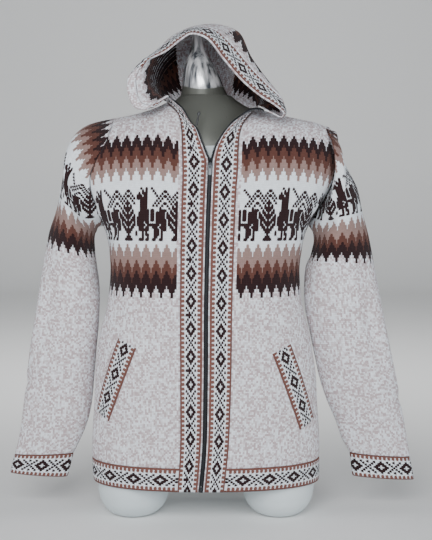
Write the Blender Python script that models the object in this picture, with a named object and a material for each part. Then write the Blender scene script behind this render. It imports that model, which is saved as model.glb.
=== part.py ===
# A knitted hooded sweater with an open-topped front zip, on a limbless torso form.
# Metres, +Z up, the sweater's front faces -Y. Left and right are the wearer's, so left is +X.
# The origin is on the floor under the middle of the whole part.

import math

import bmesh
import bpy
import numpy as np
from mathutils import Matrix, Vector

# Driving dimensions
CLOTH = 0.0024
SEAM_GAP = 0.0003
ARMHOLE_GAP = 0.0009
HEM_BOTTOM = 0.066
HEM_HEIGHT = 0.043
ARMPIT = 0.537
SIDE_POWER = 2.35
SHOULDER_POWER = 3.2
FORM_INSET = 0.011
FORM_DROP = 0.0062
ZIP_GAP = 0.0040
TOOTH = 0.0016
CHAIN_HALF = 0.0027
TEETH_EDGES = (-0.0036, -0.0009)
STOP_TALL = 0.0032
BOX_WIDE = 0.0060
BOX_TALL = 0.0080
TAPE_EDGES = (-0.0024, 0.0040, 0.0095)
TAPE = 0.0008
TAPE_GAP = 0.0012
SLIDER_HEIGHT = 0.645
SLIDER_TALL = 0.0110
SLIDER_WIDE = 0.0072
SLIDER_RISE = 0.0013
BRIDGE = 0.0008
BRIDGE_WIDE = 0.0016
BRIDGE_TALL = 0.0074
BRIDGE_RISE = 0.0030
PULL_BAR = 0.0005
PULL_AXIS = 0.0011
PULL_WIDE = 0.0052
PULL_ARM = 0.0010
PULL_WINDOW = 0.0048
PULL_TALL = 0.0160
PULLER_HEIGHT = 0.722
PULLER_ACROSS = -0.0055
PULLER_LEAN = (0.20, 0.10, 0.0)
PULLER_SIDES = 12
BAND_BULGE = 0.005
LOW_ROWS = 9
HIGH_ROWS = 11
SLEEVE_STEPS = 2 * HIGH_ROWS
PANEL_STEPS = 9
BAND_STEPS = 3
BACK_NECK = 0.766
NECK_POINTS = {"left": 0.0945, "right": 0.0725}

# The body's cross-section at each height. Above the armpit it is the shape of the shoulders.
SECTION_COLUMNS = ("height", "right", "left", "front", "back")
SECTIONS = (
    (0.060, 0.2115, 0.2125, 0.112, 0.113),
    (0.110, 0.2136, 0.2125, 0.115, 0.117),
    (0.160, 0.2122, 0.2112, 0.117, 0.119),
    (0.210, 0.2087, 0.2075, 0.118, 0.121),
    (0.260, 0.2070, 0.2050, 0.117, 0.120),
    (0.320, 0.2010, 0.1955, 0.114, 0.116),
    (0.350, 0.1950, 0.1895, 0.113, 0.1135),
    (0.380, 0.1860, 0.1815, 0.112, 0.111),
    (0.430, 0.1785, 0.1745, 0.111, 0.108),
    (0.470, 0.1771, 0.1740, 0.112, 0.108),
    (0.505, 0.1805, 0.1795, 0.115, 0.111),
    (0.537, 0.1890, 0.1890, 0.117, 0.115),
    (0.570, 0.2080, 0.2080, 0.119, 0.118),
    (0.610, 0.2330, 0.2330, 0.119, 0.121),
    (0.650, 0.2450, 0.2450, 0.117, 0.122),
    (0.690, 0.2470, 0.2470, 0.114, 0.120),
    (0.730, 0.2470, 0.2470, 0.110, 0.114),
    (0.800, 0.2470, 0.2470, 0.102, 0.104),
)

# The top line of the shoulders, out from the middle of the neck.
RIDGE_COLUMNS = ("out", "height")
RIDGE = (
    (0.000, 0.806),
    (0.040, 0.788),
    (0.060, 0.772),
    (0.085, 0.758),
    (0.120, 0.7455),
    (0.170, 0.7345),
    (0.210, 0.7245),
    (0.232, 0.7130),
    (0.243, 0.6990),
    (0.247, 0.6850),
)

# The zip's line leans a little, and the edging beside it narrows towards the hem.
FRONT_COLUMNS = ("height", "zip_x", "band")
FRONT = (
    (0.060, -0.0092, 0.0375),
    (0.140, -0.0024, 0.0390),
    (0.250, 0.0002, 0.0410),
    (0.410, 0.0014, 0.0425),
    (0.620, 0.0074, 0.0435),
    (0.655, 0.0090, 0.0435),
)

# Above the slider each front edge leaves the chest and rolls outwards. The zip's edge is at
# in_x, in_y, in_z, and the outer edge of the edging is on the chest at out_x, out_z.
NECK_COLUMNS = ("in_x", "in_y", "in_z", "out_x", "out_z")
NECK_RIGHT = (
    (-0.0046, -0.1185, 0.655, 0.0405, 0.655),
    (0.0076, -0.1180, 0.687, 0.0415, 0.687),
    (0.0164, -0.1130, 0.710, 0.0425, 0.709),
    (0.0271, -0.1060, 0.723, 0.0445, 0.724),
    (0.0434, -0.0920, 0.745, 0.0530, 0.744),
    (0.0661, -0.0680, 0.766, 0.0700, 0.761),
)
NECK_LEFT = (
    (0.0134, -0.1185, 0.655, 0.0580, 0.655),
    (0.0203, -0.1180, 0.679, 0.0590, 0.679),
    (0.0343, -0.1130, 0.7035, 0.0615, 0.7035),
    (0.0520, -0.1070, 0.721, 0.0670, 0.720),
    (0.0697, -0.1000, 0.734, 0.0760, 0.734),
    (0.0859, -0.0920, 0.7412, 0.0850, 0.744),
    (0.1023, -0.0830, 0.7400, 0.0930, 0.7505),
)

# The armhole seam, out from the middle at each height, seen from the front.
ARMHOLE_COLUMNS = ("height", "right", "left")
ARMHOLE = (
    (0.537, 0.1890, 0.1890),
    (0.556, 0.1935, 0.1985),
    (0.589, 0.2030, 0.2150),
    (0.612, 0.2070, 0.2200),
    (0.632, 0.2050, 0.2185),
    (0.652, 0.1970, 0.2125),
    (0.676, 0.1850, 0.2030),
    (0.700, 0.1740, 0.1960),
    (0.735, 0.1670, 0.1930),
)

# Each ring of a sleeve, from its outer to its inner side, with its half depth and its bow.
SLEEVE_COLUMNS = ("outer_x", "outer_z", "inner_x", "inner_z", "depth", "bow")
SLEEVE_RIGHT = (
    (0.2120, 0.7250, 0.1995, 0.5350, 0.066, 0.030),
    (0.2400, 0.7090, 0.2015, 0.5315, 0.073, 0.031),
    (0.2530, 0.6850, 0.2030, 0.5275, 0.077, 0.026),
    (0.2610, 0.6540, 0.2062, 0.5210, 0.078, 0.019),
    (0.2690, 0.6180, 0.2072, 0.5080, 0.076, 0.013),
    (0.2790, 0.5740, 0.2060, 0.4870, 0.071, 0.008),
    (0.2905, 0.5240, 0.2030, 0.4620, 0.063, 0.004),
    (0.3020, 0.4680, 0.1990, 0.4300, 0.054, 0.0),
    (0.3105, 0.4180, 0.1985, 0.3930, 0.047, 0.0),
    (0.3205, 0.3600, 0.2010, 0.3450, 0.041, 0.0),
    (0.3290, 0.3090, 0.2055, 0.2980, 0.037, 0.0),
    (0.3360, 0.2580, 0.2095, 0.2500, 0.033, 0.0),
    (0.3412, 0.2130, 0.2140, 0.2070, 0.030, 0.0),
    (0.3466, 0.1720, 0.2225, 0.1700, 0.026, 0.0),
    (0.3530, 0.1352, 0.2367, 0.1352, 0.021, 0.0),
    (0.3600, 0.1095, 0.2488, 0.1118, 0.0165, 0.0),
)
CUFF_RIGHT = (
    (0.3603, 0.1089, 0.2492, 0.1112, 0.0165, 0.0),
    (0.3650, 0.0915, 0.2550, 0.0885, 0.0150, 0.0),
    (0.3693, 0.0738, 0.2610, 0.0660, 0.0145, 0.0),
)
SLEEVE_LEFT = (
    (0.2205, 0.7215, 0.1950, 0.5310, 0.066, 0.026),
    (0.2420, 0.7060, 0.1975, 0.5270, 0.072, 0.028),
    (0.2520, 0.6830, 0.1995, 0.5190, 0.075, 0.025),
    (0.2620, 0.6500, 0.2000, 0.5080, 0.076, 0.019),
    (0.2770, 0.6110, 0.1975, 0.4950, 0.075, 0.013),
    (0.2900, 0.5600, 0.1935, 0.4800, 0.070, 0.008),
    (0.3016, 0.5186, 0.1860, 0.4630, 0.063, 0.004),
    (0.3130, 0.4620, 0.1830, 0.4350, 0.055, 0.0),
    (0.3240, 0.4080, 0.1845, 0.3870, 0.047, 0.0),
    (0.3345, 0.3600, 0.1930, 0.3420, 0.041, 0.0),
    (0.3428, 0.3200, 0.2012, 0.3020, 0.037, 0.0),
    (0.3545, 0.2640, 0.2125, 0.2520, 0.033, 0.0),
    (0.3632, 0.2180, 0.2270, 0.2090, 0.030, 0.0),
    (0.3712, 0.1750, 0.2430, 0.1720, 0.026, 0.0),
    (0.3780, 0.1370, 0.2540, 0.1400, 0.021, 0.0),
    (0.3832, 0.1048, 0.2692, 0.1126, 0.0165, 0.0),
)
CUFF_LEFT = (
    (0.3835, 0.1042, 0.2695, 0.1120, 0.0165, 0.0),
    (0.3880, 0.0820, 0.2722, 0.0900, 0.0150, 0.0),
    (0.3925, 0.0605, 0.2749, 0.0680, 0.0145, 0.0),
)

# The hood's ribs run from its right corner over the head to its left corner. The first is the
# free edge of the edging and the third its seam. One more follows the neckline behind the neck.
RIB_COLUMNS = ("x", "y", "z")
RIBS = (
    (
        (-0.0650, -0.0730, 0.7680), (-0.0900, -0.0780, 0.7560), (-0.1150, -0.0620, 0.7560),
        (-0.1230, -0.0480, 0.7800), (-0.1170, -0.0560, 0.8060), (-0.1000, -0.0730, 0.8330),
        (-0.0700, -0.0760, 0.8490), (-0.0440, -0.0700, 0.8700), (-0.0240, -0.0700, 0.8805),
        (0.0050, -0.0780, 0.8690), (0.0320, -0.0900, 0.8330), (0.0620, -0.1010, 0.7970),
        (0.0920, -0.1080, 0.7700), (0.1200, -0.1120, 0.7520), (0.1380, -0.1060, 0.7380),
        (0.1330, -0.0920, 0.7290), (0.1180, -0.0880, 0.7360), (0.1040, -0.0855, 0.7430),
    ),
    (
        (-0.0690, -0.0570, 0.7690), (-0.0930, -0.0780, 0.7480), (-0.1230, -0.0820, 0.7500),
        (-0.1360, -0.0740, 0.7760), (-0.1345, -0.0700, 0.8040), (-0.1140, -0.0680, 0.8310),
        (-0.0790, -0.0600, 0.8560), (-0.0500, -0.0500, 0.8800), (-0.0210, -0.0480, 0.8920),
        (0.0130, -0.0560, 0.8840), (0.0450, -0.0720, 0.8480), (0.0740, -0.0840, 0.8110),
        (0.1030, -0.0930, 0.7820), (0.1290, -0.0980, 0.7610), (0.1430, -0.0880, 0.7410),
        (0.1360, -0.0700, 0.7320), (0.1200, -0.0660, 0.7380), (0.1050, -0.0640, 0.7450),
    ),
    (
        (-0.0740, -0.0400, 0.7690), (-0.0890, -0.0640, 0.7600), (-0.1040, -0.0740, 0.7640),
        (-0.1090, -0.0620, 0.7820), (-0.1120, -0.0560, 0.8060), (-0.1030, -0.0500, 0.8330),
        (-0.0830, -0.0400, 0.8600), (-0.0560, -0.0300, 0.8840), (-0.0190, -0.0260, 0.8985),
        (0.0200, -0.0300, 0.8950), (0.0560, -0.0480, 0.8640), (0.0830, -0.0610, 0.8280),
        (0.1100, -0.0700, 0.7960), (0.1330, -0.0740, 0.7700), (0.1400, -0.0660, 0.7480),
        (0.1300, -0.0520, 0.7400), (0.1170, -0.0490, 0.7430), (0.1040, -0.0440, 0.7490),
    ),
    (
        (-0.0750, -0.0240, 0.7675), (-0.0860, -0.0240, 0.7740), (-0.0980, -0.0200, 0.7840),
        (-0.1060, -0.0140, 0.8000), (-0.1050, -0.0040, 0.8200), (-0.0960, 0.0060, 0.8440),
        (-0.0790, 0.0140, 0.8680), (-0.0540, 0.0180, 0.8890), (-0.0180, 0.0200, 0.9045),
        (0.0240, 0.0180, 0.9075), (0.0610, 0.0060, 0.8925), (0.0800, -0.0100, 0.8500),
        (0.1000, -0.0220, 0.8170), (0.1180, -0.0280, 0.7890), (0.1220, -0.0260, 0.7700),
        (0.1160, -0.0240, 0.7600), (0.1080, -0.0250, 0.7570), (0.1000, -0.0260, 0.7545),
    ),
    (
        (-0.0750, -0.0110, 0.7675), (-0.0860, 0.0120, 0.7770), (-0.0910, 0.0340, 0.7900),
        (-0.0920, 0.0460, 0.8040), (-0.0880, 0.0580, 0.8200), (-0.0790, 0.0690, 0.8380),
        (-0.0630, 0.0780, 0.8560), (-0.0410, 0.0840, 0.8700), (-0.0140, 0.0880, 0.8780),
        (0.0160, 0.0870, 0.8780), (0.0430, 0.0820, 0.8680), (0.0640, 0.0720, 0.8500),
        (0.0800, 0.0590, 0.8290), (0.0920, 0.0450, 0.8070), (0.0980, 0.0330, 0.7900),
        (0.1000, 0.0190, 0.7760), (0.0990, 0.0040, 0.7660), (0.0970, -0.0120, 0.7560),
    ),
    (
        (-0.0745, -0.0020, 0.7670), (-0.0820, 0.0240, 0.7730), (-0.0830, 0.0460, 0.7800),
        (-0.0790, 0.0700, 0.7880), (-0.0710, 0.0820, 0.7950), (-0.0600, 0.0920, 0.8010),
        (-0.0460, 0.1000, 0.8060), (-0.0300, 0.1050, 0.8090), (-0.0110, 0.1070, 0.8100),
        (0.0090, 0.1070, 0.8100), (0.0290, 0.1050, 0.8080), (0.0470, 0.0990, 0.8040),
        (0.0630, 0.0900, 0.7990), (0.0760, 0.0780, 0.7930), (0.0850, 0.0640, 0.7860),
        (0.0910, 0.0440, 0.7770), (0.0940, 0.0220, 0.7680), (0.0960, -0.0020, 0.7560),
    ),
)
BAND_SEAM_RIB = 2
FORM_STEPS = 40
NECK_FORM_Y = 0.004
HOOD_STEPS = 30
BAND_ROWS = 3
HOOD_ROWS = 8

# The pocket edgings, from the middle of the top end to the middle of the bottom end.
POCKET_COLUMNS = ("top_out", "top_z", "low_out", "low_z")
POCKETS = {"right": (0.1400, 0.3300, 0.1870, 0.1950), "left": (0.1355, 0.3200, 0.1835, 0.1800)}
POCKET_WIDTH = 0.034

# The form's neck above the shoulders, as ellipses.
NECK_FORM_COLUMNS = ("height", "middle", "half_width", "half_depth")
NECK_FORM = (
    (0.7760, -0.0030, 0.0440, 0.0450),
    (0.7900, -0.0050, 0.0390, 0.0410),
    (0.8100, -0.0080, 0.0345, 0.0370),
    (0.8280, -0.0110, 0.0290, 0.0320),
    (0.8440, -0.0135, 0.0215, 0.0245),
    (0.8560, -0.0150, 0.0150, 0.0165),
    (0.8680, -0.0155, 0.0112, 0.0120),
    (0.8820, -0.0155, 0.0095, 0.0100),
    (0.8945, -0.0150, 0.0070, 0.0075),
    (0.9010, -0.0147, 0.0030, 0.0030),
)
# The small moulded tab, from its foot to its round head.
PULLER_COLUMNS = ("up", "half_width", "half_thickness")
PULLER = (
    (0.0000, 0.0011, 0.0009),
    (0.0020, 0.0018, 0.0011),
    (0.0105, 0.0019, 0.0011),
    (0.0135, 0.0011, 0.0009),
    (0.0165, 0.0011, 0.0009),
    (0.0185, 0.0023, 0.0011),
    (0.0210, 0.0029, 0.0012),
    (0.0232, 0.0024, 0.0011),
    (0.0245, 0.0012, 0.0008),
)
# The rounded stubs that the form stands on, as shares of their widest ring.
STUB_COLUMNS = ("height", "share")
STUB = ((0.0, 0.50), (0.003, 0.62), (0.010, 0.76), (0.022, 0.89), (0.040, 0.97), (0.066, 1.0), (0.120, 1.0))
STUB_X, STUB_WIDE, STUB_DEEP = 0.1355, 0.0680, 0.0800


def column(table, names, wanted):
    return np.array([row[names.index(wanted)] for row in table])


def smooth_between(at, knots, values):
    """Cubic through the knots, with the slopes of its neighbours."""
    at = np.clip(np.asarray(at, float), knots[0], knots[-1])
    slopes = np.gradient(values, knots)
    k = np.clip(np.searchsorted(knots, at, side="right") - 1, 0, len(knots) - 2)
    width = knots[k + 1] - knots[k]
    t = (at - knots[k]) / width
    return (
        (2 * t**3 - 3 * t**2 + 1) * values[k]
        + (t**3 - 2 * t**2 + t) * width * slopes[k]
        + (3 * t**2 - 2 * t**3) * values[k + 1]
        + (t**3 - t**2) * width * slopes[k + 1]
    )


def from_table(table, names, wanted, at, by=None):
    return smooth_between(at, column(table, names, by or names[0]), column(table, names, wanted))


def section(name, z):
    return from_table(SECTIONS, SECTION_COLUMNS, name, z)


def ridge(x, drop=0.0):
    return from_table(RIDGE, RIDGE_COLUMNS, "height", np.abs(x)) - drop


def half_width(sign, z):
    return section("left", z) if sign > 0 else section("right", z)


def reach(sign, z, inset=0.0, drop=0.0):
    """How far out the body goes at this height."""
    outs = np.linspace(0, RIDGE[-1][0], 300)
    heights = ridge(outs, drop)
    below = outs[heights >= z]
    top = below[-1] if len(below) else outs[1]
    return min(float(half_width(sign, z)), max(float(top), outs[1])) - inset


def depth(side, x, z, inset=0.0, drop=0.0):
    """How far in front of or behind the middle plane the body is."""
    wide = np.where(np.asarray(x) > 0, section("left", z), section("right", z)) - inset
    full = section(side, z) - inset
    share = np.clip(np.abs(x) / wide, 0, 1)
    up = np.clip((z - ARMPIT) / (ridge(x, drop) - ARMPIT), 0, 1)
    around = (1 - share**SIDE_POWER) ** (1 / SIDE_POWER)
    return full * around * np.sqrt(1 - up**SHOULDER_POWER)


def zip_x(z):
    return from_table(FRONT, FRONT_COLUMNS, "zip_x", z)


def band_out(sign, z):
    """The x, out from the middle on this side, of the outer edge of the front edging."""
    below = sign * zip_x(z) + ZIP_GAP + from_table(FRONT, FRONT_COLUMNS, "band", z)
    table = NECK_LEFT if sign > 0 else NECK_RIGHT
    above = from_table(table, NECK_COLUMNS, "out_x", z, by="out_z")
    blend = np.clip((z - 0.60) / 0.055, 0, 1)
    return below * (1 - blend) + above * blend


class Panel:
    """A quarter of the body's surface. A point is found by how far round it is, from the
    panel's inner edge, and by its row, the height below the armpit and the way up the cloth
    above it."""

    def __init__(self, side, sign, start):
        self.side, self.sign, self.start = side, sign, start
        self.facing = -1 if side == "front" else 1
        self.width = self.around(ARMPIT)[1][-1]
        self.columns = np.linspace(0, self.width, 40)
        self.climbs = []
        for along in self.columns:
            self.climbs.append(self.climb(along))

    def around(self, z):
        out = reach(self.sign, z)
        first = min(self.start(z), out * 0.999)
        turn = np.linspace(math.asin(first / out), math.pi / 2, 160)
        x = out * np.sin(turn)
        y = depth(self.side, self.sign * x, z)
        steps = np.hypot(np.diff(x), np.diff(y))
        return x, np.concatenate([[0], np.cumsum(steps)]), y

    def at(self, along, z):
        x, way, y = self.around(z)
        out = np.interp(along, way, x)
        back = np.interp(along, way, y)
        return np.array([self.sign * out, self.facing * back, z])

    def climb(self, along):
        """Rows against heights above the armpit, up to the shoulder's top line."""
        share = np.sin(np.linspace(0, math.pi / 2, 60))
        top = self.top_of(along)
        heights = ARMPIT + (top - ARMPIT) * share
        points = np.array([self.at(along, z) for z in heights])
        steps = np.linalg.norm(np.diff(points, axis=0), axis=1)
        return np.concatenate([[0], np.cumsum(steps)]), heights

    def top_of(self, along):
        low, high = ARMPIT, RIDGE[0][1]
        for _ in range(40):
            middle = (low + high) / 2
            _x, way, _y = self.around(middle)
            inside = self.start(middle) < reach(self.sign, middle) and way[-1] > along
            low, high = (middle, high) if inside else (low, middle)
        return low

    def rise(self, along):
        """The length of cloth from the armpit's level to the shoulder's top line."""
        return float(np.interp(along, self.columns, [way[-1] for way, _ in self.climbs]))

    def beside(self, along):
        k = int(np.clip(np.searchsorted(self.columns, along) - 1, 0, len(self.columns) - 2))
        share = (along - self.columns[k]) / (self.columns[k + 1] - self.columns[k])
        return self.climbs[k], self.climbs[k + 1], min(max(share, 0), 1)

    def height(self, along, up):
        """The height at this way up the cloth."""
        low, high, share = self.beside(along)
        return float(np.interp(up, *low) * (1 - share) + np.interp(up, *high) * share)

    def climbed(self, along, z):
        """The way up the cloth at this height."""
        low, high, share = self.beside(along)
        below = np.interp(z, low[1], low[0])
        above = np.interp(z, high[1], high[0])
        return float(below * (1 - share) + above * share)


def armhole(panel, seam):
    """The armhole seam as shares of the way up it, and how far round the panel it is there."""
    shares, alongs = [], []
    for z in np.linspace(ARMPIT, RIDGE[0][1], 120):
        out = float(from_table(ARMHOLE, ARMHOLE_COLUMNS, seam, z))
        x, way, _y = panel.around(z)
        if z > ARMPIT and out >= x[-1]:
            break
        along = float(np.interp(out, x, way))
        alongs.append(along)
        shares.append(panel.climbed(along, z) / panel.rise(along))
    shares[-1] = 1.0
    return np.array(shares), np.array(alongs)


def neck_height(sign, x):
    """The back neckline's height, until it meets the shoulder's top line."""
    out = NECK_POINTS["left" if sign > 0 else "right"]
    share = np.clip(np.abs(x) / out, 0, 1)
    return BACK_NECK + (ridge(out) - BACK_NECK) * share**2


def panel_grid(panel, low, neck=False):
    """Rows from low to the shoulder, each from the inner edge to the side seam or armhole."""
    rows = []
    inset = 0 if neck else SEAM_GAP / 2
    for z in np.linspace(low, ARMPIT, LOW_ROWS):
        _x, way, _y = panel.around(z)
        ends = np.linspace(inset, way[-1] - SEAM_GAP / 2, PANEL_STEPS + 1)
        rows.append([panel.at(along, z) for along in ends])
    seam = "left" if panel.sign > 0 else "right"
    shares, alongs = armhole(panel, seam)
    for share in 1 - (1 - np.linspace(0, 1, HIGH_ROWS + 1)[1:]) ** 1.3:
        end = float(np.interp(share, shares, alongs)) - SEAM_GAP / 2
        row = []
        for along in np.linspace(inset, end, PANEL_STEPS + 1):
            top = panel.rise(along) - SEAM_GAP
            if neck:
                x = abs(panel.at(along, ARMPIT + 0.2)[0])
                if x < NECK_POINTS[seam]:
                    top = min(top, panel.climbed(along, float(neck_height(panel.sign, x))))
            row.append(panel.at(along, panel.height(along, top * share)))
        rows.append(row)
    return np.array(rows)


def normals_of(grid, wrap=False, flip=False):
    if wrap:
        across = np.roll(grid, -1, axis=1) - np.roll(grid, 1, axis=1)
    else:
        across = np.gradient(grid, axis=1)
    along = np.gradient(grid, axis=0)
    found = np.cross(across, along) * (-1 if flip else 1)
    return found / np.maximum(np.linalg.norm(found, axis=2, keepdims=True), 1e-12)


def panel_normals(grid, flip):
    """Normals that face straight sideways at the side seam, so that two panels meet flat."""
    found = normals_of(grid, flip=flip)
    found[: LOW_ROWS, -1, 1] = 0
    found[-1, :, 1] = 0
    return found / np.linalg.norm(found, axis=2, keepdims=True)


def material(name, colour, roughness, metallic=0.0):
    made = bpy.data.materials.get(name) or bpy.data.materials.new(name)
    made.use_nodes = True
    shader = made.node_tree.nodes["Principled BSDF"]
    shader.inputs["Base Color"].default_value = (*colour, 1)
    shader.inputs["Roughness"].default_value = roughness
    shader.inputs["Metallic"].default_value = metallic
    return made


def new_object(name, bm, finish):
    bmesh.ops.recalc_face_normals(bm, faces=bm.faces)
    mesh = bpy.data.meshes.new(name)
    bm.to_mesh(mesh)
    bm.free()
    made = bpy.data.objects.new(name, mesh)
    bpy.context.collection.objects.link(made)
    mesh.materials.append(finish)
    mesh.shade_smooth()
    mesh.set_sharp_from_angle(angle=math.radians(50))
    return made


def wall(name, grid, finish, thickness=CLOTH, wrap=False, flip=False, normals=None):
    """A closed sheet whose outer face is the grid and whose inner face is moved in."""
    if normals is None:
        normals = normals_of(grid, wrap, flip)
    inner = grid - normals * thickness
    rows, columns = grid.shape[:2]
    bm = bmesh.new()
    out = [[bm.verts.new(p) for p in row] for row in grid]
    back = [[bm.verts.new(p) for p in row] for row in inner]
    last = columns if wrap else columns - 1
    for i in range(rows - 1):
        for j in range(last):
            k = (j + 1) % columns
            bm.faces.new((out[i][j], out[i][k], out[i + 1][k], out[i + 1][j]))
            bm.faces.new((back[i][j], back[i + 1][j], back[i + 1][k], back[i][k]))
    for i in (0, rows - 1):
        for j in range(last):
            k = (j + 1) % columns
            bm.faces.new((out[i][j], back[i][j], back[i][k], out[i][k]))
    if not wrap:
        for j in (0, columns - 1):
            for i in range(rows - 1):
                bm.faces.new((out[i][j], out[i + 1][j], back[i + 1][j], back[i][j]))
    return new_object(name, bm, finish)


def loft(name, rings, finish):
    """A closed solid through rings of equal counts, with flat ends."""
    bm = bmesh.new()
    made = [[bm.verts.new(p) for p in ring] for ring in rings]
    for low, high in zip(made, made[1:]):
        for j in range(len(low)):
            k = (j + 1) % len(low)
            bm.faces.new((low[j], low[k], high[k], high[j]))
    bm.faces.new(made[0][::-1])
    bm.faces.new(made[-1])
    return new_object(name, bm, finish)


def sleeve_ring(sign, row, steps):
    outer_x, outer_z, inner_x, inner_z, half_depth, bow = row
    outer = np.array([outer_x, 0, outer_z])
    inner = np.array([inner_x, 0, inner_z])
    middle = (outer + inner) / 2
    half = (outer - inner) / 2
    along = np.array([half[2], 0, -half[0]]) / np.linalg.norm(half)
    ring = []
    for k in range(steps):
        turn = 2 * math.pi * k / steps
        point = middle + half * math.cos(turn) - np.array([0, half_depth * math.sin(turn), 0])
        point = point + along * bow * abs(math.sin(turn)) ** 1.5
        ring.append(point * (sign, 1, 1))
    return ring


def even_points(points, count):
    """This many points along a line of points, evenly apart, with both ends."""
    points = np.array(points)
    way = np.concatenate([[0], np.cumsum(np.linalg.norm(np.diff(points, axis=0), axis=1))])
    at = np.linspace(0, way[-1], count)
    return np.stack([np.interp(at, way, points[:, k]) for k in range(3)], axis=1)


def armhole_ring(front, back):
    """The seam's loop, from the shoulder down the front and up the back, with its normals.
    It stands off the edges of the body by the seam's gap."""
    sides = []
    for edge, out, beside in (front, back):
        along = np.gradient(edge, axis=0)
        along /= np.linalg.norm(along, axis=1, keepdims=True)
        away = edge - beside
        away -= along * np.sum(away * along, axis=1, keepdims=True)
        away /= np.linalg.norm(away, axis=1, keepdims=True)
        away[0] = (0, 0, 1)
        sides.append(np.concatenate([edge + away * ARMHOLE_GAP, out], axis=1))
    down, up = sides[0][::-1], sides[1]
    shoulder = (down[0] + up[-1]) / 2
    armpit = (down[-1] + up[0]) / 2
    loop = np.concatenate([[shoulder], down[1:-1], [armpit], up[1:-1]])
    return loop[:, :3], loop[:, 3:] / np.linalg.norm(loop[:, 3:], axis=1, keepdims=True)


def spline_rows(table, row_at, column_at):
    """The hood's surface at any rib and place along the ribs."""
    ribs = np.array(table)
    along = np.linspace(0, 1, ribs.shape[1])
    across = np.arange(ribs.shape[0], dtype=float)
    stretched = np.stack(
        [[smooth_between(column_at, along, rib[:, k]) for rib in ribs] for k in range(3)], axis=2
    )
    return np.stack(
        [[smooth_between(row_at, across, stretched[:, j, k]) for j in range(len(column_at))]
         for k in range(3)], axis=2
    ).transpose(1, 0, 2)


def zip_edge(sign, z, top):
    """The zip's edge beside the place at this height on the edging's outer edge."""
    if z <= NECK_LEFT[0][2]:
        x = float(zip_x(z)) + sign * ZIP_GAP
        return np.array([x, -float(depth("front", x, z)), z])
    table = NECK_LEFT if sign > 0 else NECK_RIGHT
    outs = column(table, NECK_COLUMNS, "out_z")
    outs = outs[0] + (outs - outs[0]) * (top - outs[0]) / (outs[-1] - outs[0])
    row = np.interp(z, outs, np.arange(len(outs)))
    knots = np.arange(len(table), dtype=float)
    x, y, height = (
        float(smooth_between(row, knots, column(table, NECK_COLUMNS, name)))
        for name in ("in_x", "in_y", "in_z")
    )
    return np.array([sign * x, y, height])


def front_band_grid(sign, below, front, facing):
    """The edging beside the zip, from the hem to the top of the zip, along the front's edge."""
    seams = np.concatenate([below[:-1, :2], front[:, :2]])
    top = seams[-1, 0, 2]
    rows = []
    for (seam, beside), out in zip(seams, facing):
        edge = zip_edge(sign, seam[2], top)
        rolled = min(1.0, max(0.0, (seam[2] - SLIDER_HEIGHT) / 0.05))
        full = seam + (seam - beside) * SEAM_GAP / np.linalg.norm(seam - beside)
        lift = (out * 0.5 + (-sign * 0.3, -0.6, 0)) * BAND_BULGE * rolled
        row = []
        for share in np.linspace(0, 1, BAND_STEPS + 1):
            point = edge * (1 - share) + full * share
            if rolled == 0:
                point[1] = -float(depth("front", point[0], point[2]))
            row.append(point + 4 * share * (1 - share) * lift)
        rows.append(row)
    return np.array(rows)


def hem_normals(grid, flip, both=False):
    found = normals_of(grid, flip=flip)
    found[:, -1, 1] = 0
    if both:
        found[:, 0, 1] = 0
    return found / np.linalg.norm(found, axis=2, keepdims=True)


def body_pieces(knit):
    """The back and fronts, the hem edging, and the edges of the two armholes."""
    panels, armholes, halves, bands = {}, {}, {}, {}
    for sign, seam in ((1, "left"), (-1, "right")):
        front = Panel("front", sign, lambda z, sign=sign: float(band_out(sign, z)))
        back = Panel("back", sign, lambda z: 0.0)
        low = HEM_BOTTOM + HEM_HEIGHT + SEAM_GAP
        grid = panel_grid(front, low)
        out = panel_normals(grid, sign < 0)
        wall("front_" + seam, grid, knit, normals=out)
        halves[seam] = panel_grid(back, low, neck=True)
        behind = panel_normals(halves[seam], sign > 0)
        armholes[seam] = [
            (half[LOW_ROWS - 1:, -1], facing[LOW_ROWS - 1:, -1], half[LOW_ROWS - 1:, -2])
            for half, facing in ((grid, out), (halves[seam], behind))
        ]
        panels[seam] = (front, back)
        hem = []
        for z in np.linspace(HEM_BOTTOM, HEM_BOTTOM + HEM_HEIGHT, 3):
            full = front.around(z)[1][-1] - SEAM_GAP / 2
            hem.append([front.at(a, z) for a in np.linspace(SEAM_GAP / 2, full, PANEL_STEPS + 1)])
        hem = np.array(hem)
        hem_out = hem_normals(hem, sign < 0)
        wall("hem_" + seam, hem, knit, normals=hem_out)
        seam_out = np.concatenate([hem_out[:-1, 0], out[:, 0]])
        band = front_band_grid(sign, hem, grid, seam_out)
        facing = normals_of(band, flip=sign < 0)
        facing[:, -1] = seam_out
        wall("front_band_" + seam, band, knit, normals=facing)
        bands[seam] = (band, facing)
    whole = np.concatenate([halves["right"][:, :0:-1], halves["left"]], axis=1)
    out = panel_normals(whole, True)
    out[:LOW_ROWS, 0, 1] = 0
    wall("back", whole, knit, normals=out / np.linalg.norm(out, axis=2, keepdims=True))
    hem = []
    for z in np.linspace(HEM_BOTTOM, HEM_BOTTOM + HEM_HEIGHT, 3):
        row = []
        for seam, turn in (("right", -1), ("left", 1)):
            back = panels[seam][1]
            ways = np.linspace(0, back.around(z)[1][-1] - SEAM_GAP / 2, PANEL_STEPS + 1)
            points = [back.at(a, z) for a in ways]
            row += points[:0:-1] if turn < 0 else points
        hem.append(row)
    hem = np.array(hem)
    wall("hem_back", hem, knit, normals=hem_normals(hem, True, both=True))
    return panels, armholes, whole, bands


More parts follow.
